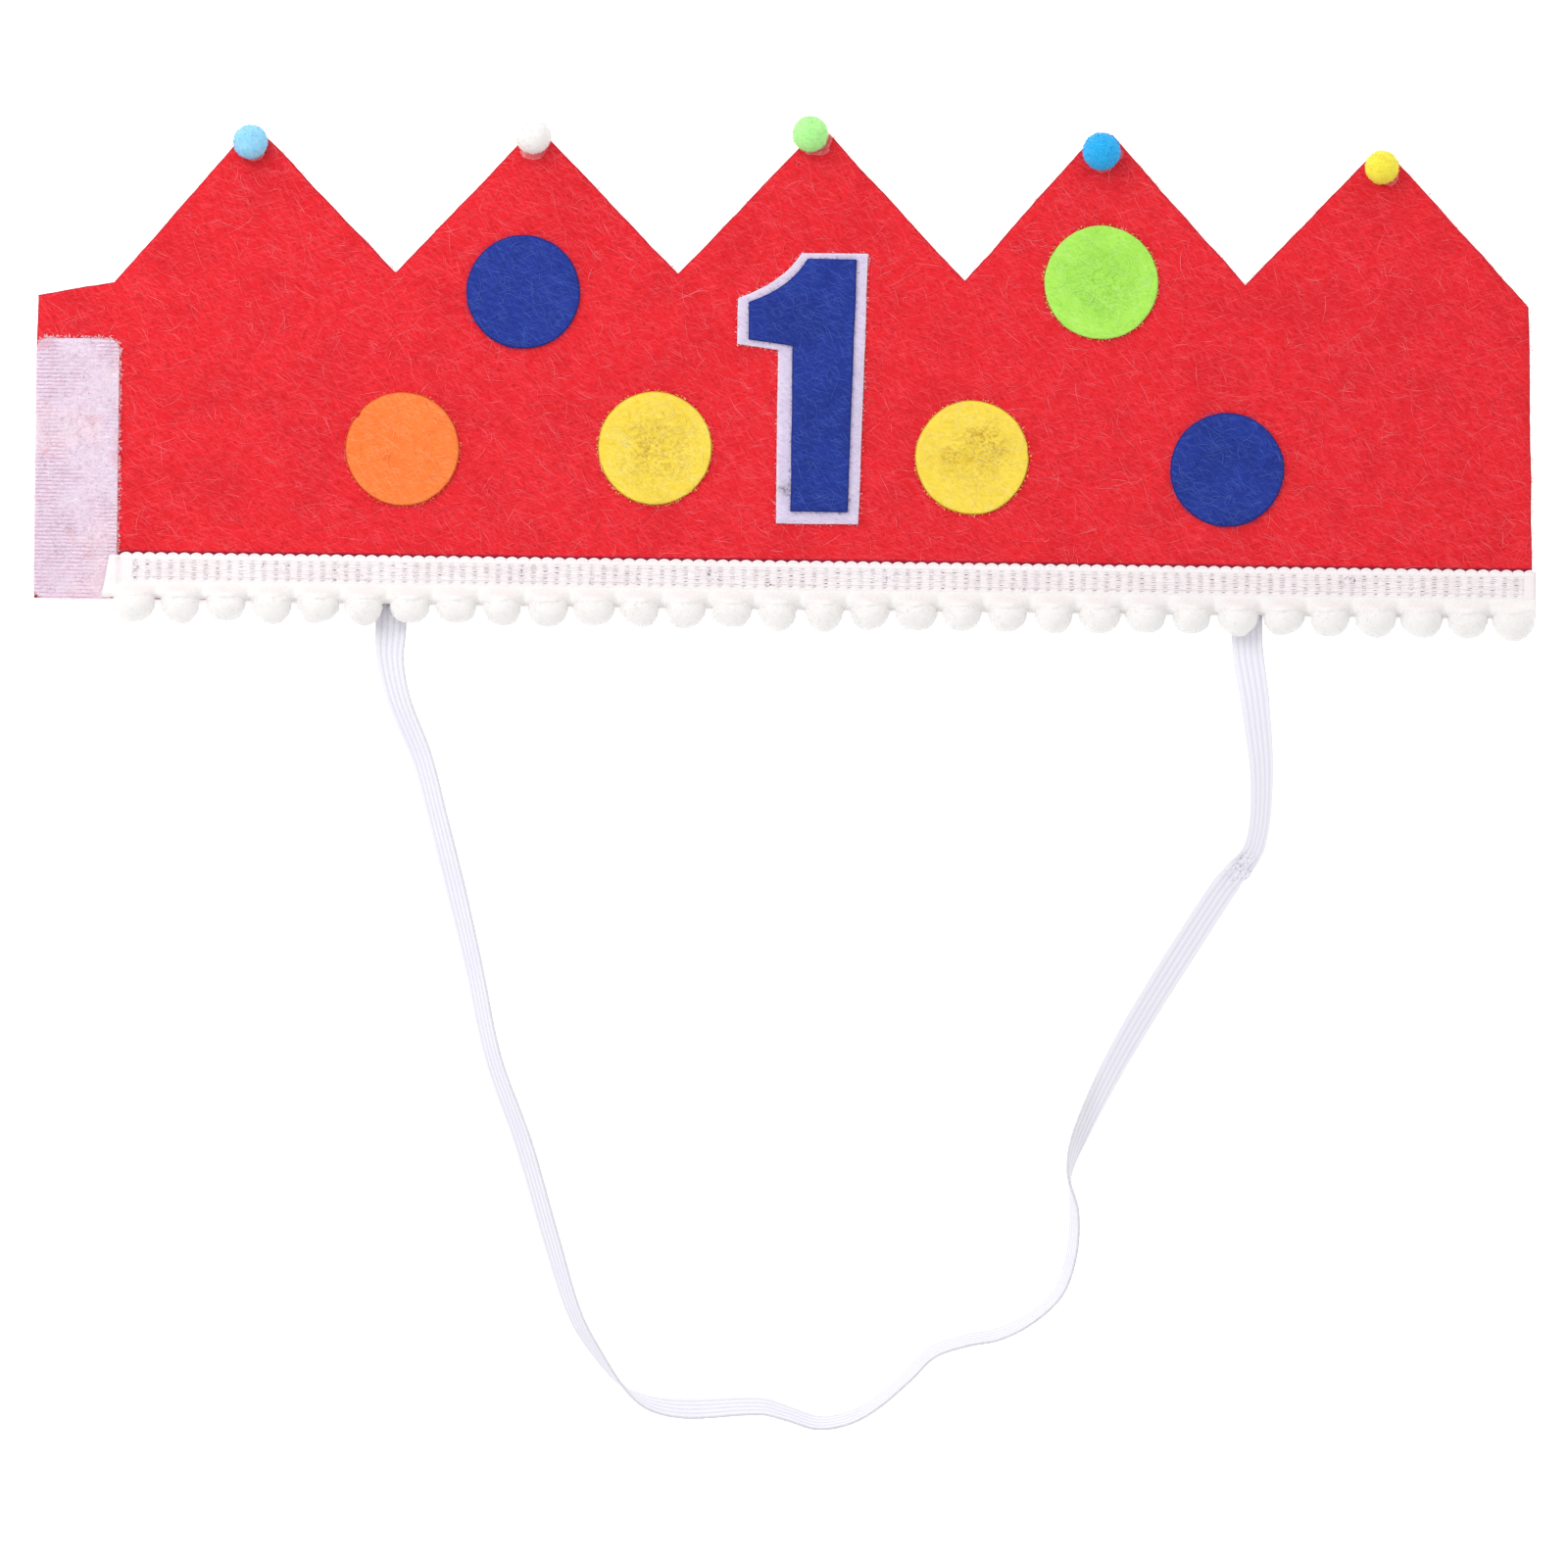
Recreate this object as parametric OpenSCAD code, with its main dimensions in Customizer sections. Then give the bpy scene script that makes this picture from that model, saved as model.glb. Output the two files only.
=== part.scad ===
// Birthday party hat: a flat felt crown with a ball fringe, felt appliques and an elastic chin strap.
// It lies open on its back, as it is stored. +X runs along the band towards the end with the hooks,
// +Y towards the points, +Z up. The origin is under the middle of the crown, on the surface it lies on.

/* [Felt band] */
// Thickness of the red felt
felt_t = 2; // [1:0.1:4]
// Height of the band from its lower edge to the valleys between the points
band_h = 94.4; // [80:0.1:130]
// Distance from one point to the next
point_pitch = 80.9; // [72:0.1:100]
// Height of the points above the valleys
point_rise = 40; // [30:0.1:60]
// Width of the blunt end of each point
point_flat = 5.4; // [2:0.1:7]
// Height of the band where the first point starts
shoulder_h = 90.6; // [80:0.1:110]
// Height of the band at its right end
end_h = 88.7; // [80:0.1:110]
// How far the right end leans out towards its lower corner
end_lean = 2.2; // [0:0.1:5]
// Length of the plain tab at the left end
tab_len = 21.8; // [16:0.1:40]
// Height of the tab at its outer end
tab_h = 86.8; // [78:0.1:110]

/* [Closure] */
// Width of the soft patch on the tab
loop_w = 23.7; // [15:0.1:30]
// Height of the soft patch on the tab
loop_h = 74.3; // [50:0.1:76]
// Thickness of the soft patch
loop_t = 1; // [0.5:0.1:2]
// Width of the hooked patch behind the right end
hook_w = 23.7; // [15:0.1:30]
// Height of the hooked patch
hook_h = 74.3; // [50:0.1:76]
// Thickness of the hooked patch
hook_t = 1; // [0.5:0.1:2]
// Corner radius of both patches
patch_r = 3.3; // [1:0.1:6]

/* [Felt dots] */
// Diameter of the dots
dot_d = 32.6; // [20:0.1:38]
// Thickness of the felt of the dots
dot_t = 1.2; // [0.6:0.1:3]

/* [Numeral] */
// Height of the blue numeral
digit_h = 72.3; // [50:0.1:80]
// Width of its stem at the top
stem_top_w = 14.1; // [10:0.1:20]
// Width of its stem at the foot
stem_foot_w = 16.4; // [10:0.1:24]
// Reach of its flag to the left of the stem
flag_len = 12.6; // [8:0.1:18]
// Height of the flag's end
flag_h = 10.8; // [6:0.1:14]
// Height of the flag's lower edge above the foot
flag_v = 48.9; // [36:0.1:52]
// Thickness of the numeral's felt
digit_t = 1.2; // [0.6:0.1:3]
// Thickness of its pale backing
backing_t = 1.2; // [0.6:0.1:3]
// Clear distance from the fringe tape to the backing
digit_gap = 10.4; // [4:0.1:14]

/* [Fringe] */
// Height of the fringe tape
tape_h = 13.5; // [12:0.1:18]
// Thickness of the tape
tape_t = 1; // [0.6:0.1:1.6]
// Pitch of the small scallops along the tape's upper edge
picot_pitch = 3.35; // [3:0.05:6]
// Height of the scallops
picot_rise = 0.9; // [0.4:0.1:1.5]
// Width of the slits in the tape
slit_w = 0.8; // [0.4:0.1:1.4]
// Height of the slits
slit_h = 5; // [3:0.1:5.5]
// Diameter of the fringe balls
ball_d = 10.8; // [7:0.1:11.4]
// How far the balls' centres hang below the lower edge of the band
ball_drop = 1; // [0:0.1:3]

/* [Pom-poms on the points] */
// Diameter of the pom-poms
tip_d = 10; // [7:0.1:14]
// Diameter of the glue dab under each
glue_d = 6.4; // [4:0.1:8]
// Thickness of the glue dab
glue_t = 0.4; // [0.2:0.1:1]

/* [Chin strap] */
// Width of the flat elastic
strap_w = 8.8; // [5:0.1:10]
// Thickness of the elastic
strap_t = 1; // [0.5:0.1:1.5]

/* [Hidden] */
$fn = 48;

// Hand-cut wander of the points and of the valleys between them
POINT_OFF = [[-0.9, -0.7], [-1.1, -0.2], [-0.8, 0.9], [-1, 1.9], [-2.4, -2.6]];
VALLEY_OFF = [[-0.5, 0], [-0.7, 0.7], [0.4, -0.3], [-0.3, -0.3]];
POINTS = len(POINT_OFF);

// Dots: how many point pitches along the band, how far up between tape and valleys, and the colour
DOTS = [
    ["dot_blue_left", 1.446, 0.935, "#263c9b"],
    ["dot_orange", 1.027, 0.375, "#ff8a4a"],
    ["dot_yellow_left", 1.918, 0.39, "#fce250"],
    ["dot_yellow_right", 3.038, 0.371, "#fce250"],
    ["dot_green", 3.486, 0.995, "#a5f05a"],
    ["dot_blue_right", 3.939, 0.34, "#263c9b"],
];

// Pom-poms: place beside the point's end, difference in diameter, shift of the glue, and the colour
TIPS = [
    [[-0.8, -2.9], -0.2, [0.6, -0.8], "#7dc8f0"],
    [[-0.9, -0.7], 0.2, [1.2, -1.6], "#fafafa"],
    [[-3.1, -0.2], 0.2, [2.6, -2.4], "#8cf078"],
    [[-0.6, -5.1], 0.8, [1, 0.4], "#1e9be1"],
    [[-0.1, -4.1], -0.4, [0.2, -0.6], "#fce62d"],
];
// How far a pom-pom is pressed onto its glue, as a share of its radius
TIP_PRESS = 0.2;

BALLS = 31;
// Room beside the first and the last ball of the fringe
BALL_START = 7.1;
BALL_END = 6.3;

// Middle line of the strap where it lies, hand-placed: x from the middle of the crown, y from the band's
// lower edge, roll in degrees, and 1 where the band holds it.
// Rolled by 90 degrees the elastic stands on its edge, as a limp flat tape does in a bend.
STRAP = [
    [-112.4, 19.9, 0, 1], [-112.4, -7.1, 0, 1], [-112.4, -16.1, 32, 0], [-109.6, -28.1, 42, 0],
    [-103, -44.1, 47, 0], [-98.5, -60.1, 50, 0], [-93, -81.1, 48, 0], [-87.5, -103.1, 54, 0],
    [-81.5, -129.6, 56, 0], [-72.5, -154.1, 53, 0], [-64, -182.1, 55, 0], [-57, -203.1, 61, 0],
    [-50, -214.6, 70, 0], [-43, -223.1, 85, 0], [-35.5, -227.6, 115, 0], [-25, -229.1, 128, 0],
    [-4, -228.1, 120, 0], [4, -230.1, 112, 0], [12.5, -232.6, 110, 0], [21.5, -231.1, 106, 0],
    [29.5, -226.6, 100, 0], [38, -219.1, 98, 0], [45, -212.1, 102, 0], [54.5, -208.6, 104, 0],
    [64, -206.6, 105, 0], [73.5, -201.6, 100, 0], [81, -194.1, 94, 0], [84.5, -183.1, 99, 0],
    [85, -171.1, 100, 0], [83.5, -161.1, 84, 0], [85.5, -152.1, 58, 0], [92.5, -136.1, 43, 0],
    [101.5, -119.1, 32, 0], [116, -95.1, 27, 0], [127.5, -77.1, 30, 0], [135, -67.1, 48, 0],
    [137, -48.6, 42, 0], [135, -26.1, 22, 0], [132.5, -8.1, 0, 1], [132.5, 19.9, 0, 1],
];
// Rings in each stretch of the strap, and the chamfer along its edges
STRAP_STEPS = 2;
STRAP_EDGE = 0.3;

// How far the tape stands past the band's right end, and the plain weave above its slits
TAPE_OVER = 0.6;
HEAD_H = 1.6;

// Levels, counted from the surface that the hat lies on
felt_z = max(hook_t, strap_t);
felt_top = felt_z + felt_t;
tape_top = felt_top + tape_t;
glue_top = felt_top + glue_t;

// The band's own places: u along the lower edge from where the first point starts, v up from that edge
crown_len = POINTS * point_pitch;
clear_h = band_h - tape_h;
ball_r = ball_d / 2;
loop_right = loop_w - tab_len;
riser_right = loop_right + tape_t;
tape_end = crown_len + end_lean + TAPE_OVER;
hook_inset = 0.3;
picots = round((tape_end - riser_right) / picot_pitch);
picot_step = (tape_end - riser_right) / picots;
tape_side = tape_h - picot_rise;
slit_v = tape_side - slit_h - HEAD_H;
// The tape's left end is cut slantwise and laps over the soft patch
lap_len = 4.2;
lap_slant = 2.1;
// Distance of the slits from the notches between the scallops
slit_shift = 1.1;
// Raised cords woven in above and below the slits
cord_w = 1;
cord_rise = 0.3;
cord_gap = 0.3;

// Backing margins round the numeral: beside it, at the stem's left, above, below and round the flag
MARGINS = [3.2, 4.1, 1.7, 3.5, 1.2];
NO_MARGINS = [0, 0, 0, 0, 0];
// Lean of the stem's top to the right, drop of the flag's root, and the bow of the flag's upper edge
stem_lean = 2.9;
flag_sag = 1.6;
FLAG_BOW = [0.71, 0.33];

// Middle of the crown in u and v, where the origin goes
mid_u = (tape_end - tab_len) / 2;
low_v = -ball_drop - ball_r;
high_v = max([for (i = [0 : POINTS - 1]) max(point_at(i).y, tip_at(i).y + tip_r(i))]);
mid_v = (low_v + high_v) / 2;

function ball_name(i) = str("trim_pompom_", i < 10 ? "0" : "", i);
function point_at(i) = [(i + 0.5) * point_pitch, band_h + point_rise] + POINT_OFF[i];
function valley_at(i) = [(i + 1) * point_pitch, band_h] + VALLEY_OFF[i];
function tip_at(i) = point_at(i) + TIPS[i][0];
function tip_r(i) = (tip_d + TIPS[i][1]) / 2;
function dot_at(dot) = [dot[1] * point_pitch, tape_h + dot[2] * clear_h];
function ball_u(i) = BALL_START + (i - 1) * (tape_end - BALL_END - BALL_START) / (BALLS - 1);
function bezier(a, c, b, t) = a * pow(1 - t, 2) + c * 2 * t * (1 - t) + b * pow(t, 2);

// Everything on the band is drawn in u and v and set over the origin, with its underside at height z
module on_band(z) {
    translate([-mid_u, -mid_v, z])
        children();
}

// Band of felt

module band_outline() {
    teeth = [for (i = [0 : POINTS - 1]) each [
        point_at(i) - [point_flat / 2, 0],
        point_at(i) + [point_flat / 2, 0],
        if (i < POINTS - 1) valley_at(i),
    ]];
    polygon(concat(
        [[-tab_len, tab_h], [0, shoulder_h]],
        teeth,
        [[crown_len, end_h], [crown_len + end_lean, 0], [-tab_len, 0]]
    ));
}

module felt_band() {
    color("#ee2b37")
        on_band(felt_z)
            linear_extrude(felt_t)
                band_outline();
}

// Closure patches

module patch_outline(w, h) {
    corners = [[w - patch_r, h - patch_r], [patch_r, h - patch_r], [patch_r, patch_r], [w - patch_r, patch_r]];
    polygon([for (k = [0 : 3], a = [0 : 15 : 90])
        corners[k] + patch_r * [cos(90 * k + a), sin(90 * k + a)]]);
}

module loop_patch() {
    color("#e4cde2")
        on_band(felt_top)
            translate([-tab_len, 0, 0])
                linear_extrude(loop_t)
                    patch_outline(loop_w, loop_h);
}

module hook_patch() {
    color("#f2f0f2")
        on_band(felt_z - hook_t)
            translate([crown_len - hook_inset - hook_w, hook_inset, 0])
                linear_extrude(hook_t)
                    patch_outline(hook_w, hook_h);
}

// Appliques

module dot_disc(dot) {
    color(dot[3])
        on_band(felt_top)
            translate(dot_at(dot))
                cylinder(d = dot_d, h = dot_t);
}

// Numeral 1 with its origin under the middle of the foot, and margins m for the backing
module digit_outline(m) {
    foot = stem_foot_w / 2;
    flag_x = -foot - flag_len - m[0];
    flag_top = [flag_x, flag_v + flag_h + m[4]];
    head = [stem_lean - stem_top_w / 2 - m[2], digit_h + m[2]];
    bow = [
        flag_top.x + FLAG_BOW.x * (head.x - flag_top.x),
        flag_top.y + FLAG_BOW.y * (head.y - flag_top.y),
    ];
    polygon(concat(
        [
            [stem_lean + stem_top_w / 2 + m[0], digit_h + m[2]],
            [foot + m[0], -m[3]],
            [-foot - m[1], -m[3]],
            [-foot - m[1], flag_v - flag_sag - m[4]],
            [flag_x, flag_v - m[4]],
        ],
        [for (t = [0 : 0.125 : 1]) bezier(flag_top, bow, head, t)]
    ));
}

module digit_plate(m, z, t) {
    on_band(z)
        translate([POINTS / 2 * point_pitch, tape_h + digit_gap + MARGINS[3], 0])
            linear_extrude(t)
                digit_outline(m);
}

module numeral_backing() {
    color("#e4d7eb")
        digit_plate(MARGINS, felt_top, backing_t);
}

module numeral_front() {
    color("#263c9b")
        digit_plate(NO_MARGINS, felt_top + backing_t, digit_t);
}

// Pom-poms on the points

module tip_glue(i) {
    color("#e8e4d8")
        on_band(felt_top)
            linear_extrude(glue_t)
                intersection() {
                    translate(tip_at(i) + TIPS[i][2])
                        circle(d = glue_d);
                    band_outline();
                }
}

module tip_pompom(i) {
    r = tip_r(i);
    color(TIPS[i][3])
        on_band(glue_top)
            translate(tip_at(i))
                difference() {
                    translate([0, 0, r * (1 - TIP_PRESS)])
                        sphere(r);
                    translate([-r, -r, -2 * r])
                        cube(2 * r);
                }
}

// Ball fringe

module scalloped_tape() {
    scallops = [for (i = [picots - 1 : -1 : 0], s = [1 : -0.2 : 0.2])
        [riser_right + (i + s) * picot_step, tape_side + picot_rise * sin(180 * s)]];
    polygon(concat([[loop_right, 0], [tape_end, 0]], scallops, [[riser_right, tape_side], [loop_right, tape_side]]));
}

module lap_outline() {
    polygon([
        [riser_right - lap_len - tape_t, 0],
        [riser_right, 0],
        [riser_right, tape_side],
        [riser_right - lap_len - tape_t + lap_slant, tape_side],
    ]);
}

module woven_cord(v) {
    translate([riser_right, v, 0])
        cube([tape_end - riser_right, cord_w, tape_t + cord_rise]);
}

module slits() {
    for (i = [1 : picots - 1])
        translate([riser_right + i * picot_step + slit_shift - slit_w / 2, slit_v, -tape_t])
            cube([slit_w, slit_h, 3 * tape_t]);
}

module trim_tape() {
    color("#faf8f6")
        on_band(felt_top)
            union() {
                difference() {
                    linear_extrude(tape_t)
                        scalloped_tape();
                    slits();
                }
                woven_cord(slit_v - cord_gap - cord_w);
                woven_cord(slit_v + slit_h + cord_gap);
                translate([loop_right, 0, 0])
                    cube([riser_right - loop_right, tape_side, loop_t + tape_t]);
                translate([0, 0, loop_t])
                    linear_extrude(tape_t)
                        lap_outline();
            }
}

// Room that the edges of the felt and of the tape take out of the balls
module band_seat() {
    translate([-tab_len, 0, -felt_top])
        cube([tape_end + tab_len, band_h, tape_top]);
    translate([-tab_len, 0, -felt_top])
        cube([riser_right + tab_len, band_h, tape_top + loop_t]);
}

// Room that the flat end of the strap at x takes out of the balls
module strap_seat(x) {
    translate([x + mid_u - strap_w / 2, -tape_h, -felt_top])
        cube([strap_w, 2 * tape_h, felt_z]);
}

module trim_pompom(i) {
    color("#faf8f6")
        on_band(felt_top)
            difference() {
                translate([ball_u(i), -ball_drop, ball_r - felt_top])
                    sphere(ball_r);
                band_seat();
                strap_seat(STRAP[0].x);
                strap_seat(STRAP[len(STRAP) - 1].x);
            }
}

// Chin strap: a flat section swept along one smooth curve through the places in STRAP

STRAP_END = len(STRAP) - 1;
RINGS = STRAP_END * STRAP_STEPS + 1;
SECTION = [
    [strap_w / 2, strap_t / 2 - STRAP_EDGE],
    [strap_w / 2 - STRAP_EDGE, strap_t / 2],
    [STRAP_EDGE - strap_w / 2, strap_t / 2],
    [-strap_w / 2, strap_t / 2 - STRAP_EDGE],
    [-strap_w / 2, STRAP_EDGE - strap_t / 2],
    [STRAP_EDGE - strap_w / 2, -strap_t / 2],
    [strap_w / 2 - STRAP_EDGE, -strap_t / 2],
    [strap_w / 2, STRAP_EDGE - strap_t / 2],
];
SIDES = len(SECTION);

function strap_xy(i) = [STRAP[i].x, STRAP[i].y];
function chord(i) = norm(strap_xy(i + 1) - strap_xy(i));
function heading(i) =
    let (a = max(i - 1, 0), b = min(i + 1, STRAP_END))
    (strap_xy(b) - strap_xy(a)) / ((a < i ? chord(a) : 0) + (b > i ? chord(i) : 0));
function curve_xy(i, t) =
    strap_xy(i) * (2 * pow(t, 3) - 3 * pow(t, 2) + 1)
    + strap_xy(i + 1) * (3 * pow(t, 2) - 2 * pow(t, 3))
    + heading(i) * chord(i) * (pow(t, 3) - 2 * pow(t, 2) + t)
    + heading(i + 1) * chord(i) * (pow(t, 3) - pow(t, 2));
function ring_xy(k) =
    let (i = min(floor(k / STRAP_STEPS), STRAP_END - 1))
    curve_xy(i, k / STRAP_STEPS - i);
function ring_value(k, column) =
    let (i = min(floor(k / STRAP_STEPS), STRAP_END - 1), t = k / STRAP_STEPS - i)
    STRAP[i][column] * (1 - t) + STRAP[i + 1][column] * t;
function ring_points(k) =
    let (
        along = ring_xy(min(k + 1, RINGS - 1)) - ring_xy(max(k - 1, 0)),
        left = [-along.y, along.x] / norm(along),
        roll = ring_value(k, 2),
        lift = ring_value(k, 3) * (felt_z - strap_t),
        z = strap_w / 2 * abs(sin(roll)) + strap_t / 2 * abs(cos(roll)) + lift,
        across = [left.x * cos(roll), left.y * cos(roll), sin(roll)],
        through = [-left.x * sin(roll), -left.y * sin(roll), cos(roll)],
        centre = [ring_xy(k).x, ring_xy(k).y, z]
    )
    [for (p = SECTION) centre + across * p.x + through * p.y];

module chin_strap() {
    points = [for (k = [0 : RINGS - 1]) each ring_points(k)];
    skin = [for (k = [0 : RINGS - 2], j = [0 : SIDES - 1])
        let (a = k * SIDES + j, b = k * SIDES + (j + 1) % SIDES)
        each [[a, b, a + SIDES], [b, b + SIDES, a + SIDES]]];
    start_cap = [[for (j = [SIDES - 1 : -1 : 0]) j]];
    end_cap = [[for (j = [0 : SIDES - 1]) (RINGS - 1) * SIDES + j]];
    color("#e8e6f2")
        translate([0, -mid_v, 0])
            polyhedron(points, concat(skin, start_cap, end_cap));
}

felt_band();
loop_patch();
hook_patch();
for (dot = DOTS)
    dot_disc(dot);
numeral_backing();
numeral_front();
for (i = [1 : POINTS])
    tip_glue(i - 1);
for (i = [1 : POINTS])
    tip_pompom(i - 1);
trim_tape();
for (i = [1 : BALLS])
    trim_pompom(i);
chin_strap();
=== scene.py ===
"""Dresses the party hat's solids: felt, appliques, pom-poms, ball fringe, closure tape and elastic, in metres."""
import math

import bmesh
import bpy
import numpy as np
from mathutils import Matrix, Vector
from mathutils.geometry import delaunay_2d_cdt


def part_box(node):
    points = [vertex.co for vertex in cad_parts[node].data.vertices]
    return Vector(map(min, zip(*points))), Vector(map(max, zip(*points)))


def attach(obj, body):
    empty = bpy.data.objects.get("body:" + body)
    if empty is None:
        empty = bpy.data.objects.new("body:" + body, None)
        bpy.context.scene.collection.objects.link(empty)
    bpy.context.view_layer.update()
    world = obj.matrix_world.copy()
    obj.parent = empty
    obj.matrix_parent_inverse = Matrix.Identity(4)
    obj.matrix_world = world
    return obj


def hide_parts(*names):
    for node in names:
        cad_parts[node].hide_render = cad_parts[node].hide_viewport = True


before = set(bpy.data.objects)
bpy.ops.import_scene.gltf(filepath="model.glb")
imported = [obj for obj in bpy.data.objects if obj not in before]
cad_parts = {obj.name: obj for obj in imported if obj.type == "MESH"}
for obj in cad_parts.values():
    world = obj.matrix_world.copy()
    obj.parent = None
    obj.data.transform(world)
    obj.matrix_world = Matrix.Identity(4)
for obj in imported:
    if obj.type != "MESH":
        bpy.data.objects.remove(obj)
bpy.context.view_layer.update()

MM = 0.001

# The photograph: how much its width covers, the point of the frame at its middle, and the hat's tilt in it
PHOTO_WIDTH = 448 * MM
PHOTO_CENTRE = (0.56 * MM, -117.3 * MM)
PHOTO_TILT = math.radians(0.75)
LENS = 200
SENSOR = 36
CLIP = (0.1, 20)

# Levels and the band's lower edge, from the solids
FELT_LOW, FELT_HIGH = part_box("felt_band")
FELT_TOP = FELT_HIGH.z
BAND_EDGE = FELT_LOW.y
TAPE_LOW, TAPE_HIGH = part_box("trim_tape")
LAP_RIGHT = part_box("loop_patch")[1].x

# Colours as they look in the photograph
RED, RED_SHADE, RED_FIBRE, RED_PALE, RED_EDGE_SHADE = "#ec202c", "#c8121e", "#ff5560", "#ff828b", "#a8182c"
FELTS = {
    # its own colour, its shade, its loose fibres and its cut edge's colour: painted shade on most felts, a painted rim
    # highlight on the green and lilac ones
    "felt_blue": ("#1f3595", "#101f66", "#4a68c4", "#1b2c84"),
    "felt_orange": ("#ff813a", "#f06c26", "#ffac74", "#e06a2c"),
    "felt_yellow": ("#fddf4a", "#eac32e", "#fff09c", "#d8b53a"),
    "felt_green": ("#b0f05a", "#90d842", "#d0fb98", "#bdf070"),
    "felt_lilac": ("#e0d2ec", "#c2b3d6", "#f6efff", "#f4eff8"),
}
LOOP, LOOP_SHADE, LOOP_PALE = "#f6dcea", "#cfa2bf", "#fff4fb"
LOOP_RED, LOOP_LILAC = "#ea9ba8", "#e8d8f2"
STAIN, GREEN_STAIN, GREY = "#b58a2a", "#6fae3a", "#8f8a99"
# A painted shadow of the tape on the felt along its upper edge: it begins this far above the tape and is full at the
# second height
TAPE_SHADOW = "#7c1636"
TAPE_SHADOW_REACH = (0.8 * MM, 0.1 * MM)

# What a surface is made of is this much darker than it looks, because the light is bright enough to burn the table
# out. The tape lets light through and so is less so.
PAINT = 0.79
TAPE_PAINT = 0.82


def rgb(code, share=1.0):
    """A #rrggbb colour as linear red, green, blue and alpha."""
    parts = [int(code[i:i + 2], 16) / 255 for i in (1, 3, 5)]
    return (*[share * (c / 12.92 if c <= 0.04045 else ((c + 0.055) / 1.055) ** 2.4) for c in parts], 1.0)


# Camera

def add_camera():
    """Looks straight down at the middle of the photograph, turned by the hat's tilt in it."""
    data = bpy.data.cameras.new("camera")
    data.sensor_width = SENSOR
    data.lens = LENS
    camera = bpy.data.objects.new("camera", data)
    bpy.context.scene.collection.objects.link(camera)
    camera.location = (*PHOTO_CENTRE, FELT_TOP + PHOTO_WIDTH * LENS / SENSOR)
    camera.rotation_euler = (0, 0, PHOTO_TILT)
    data.clip_start, data.clip_end = CLIP
    bpy.context.scene.camera = camera


# Materials

def put(node, **values):
    """Sets inputs of a node, where _ in a name stands for a space."""
    for name, value in values.items():
        node.inputs[name.replace("_", " ")].default_value = value
    return node


SPECULAR = 0.25
# The share of a spot's radius over which it is at its strongest
SPOT_CORE = 0.3


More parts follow.
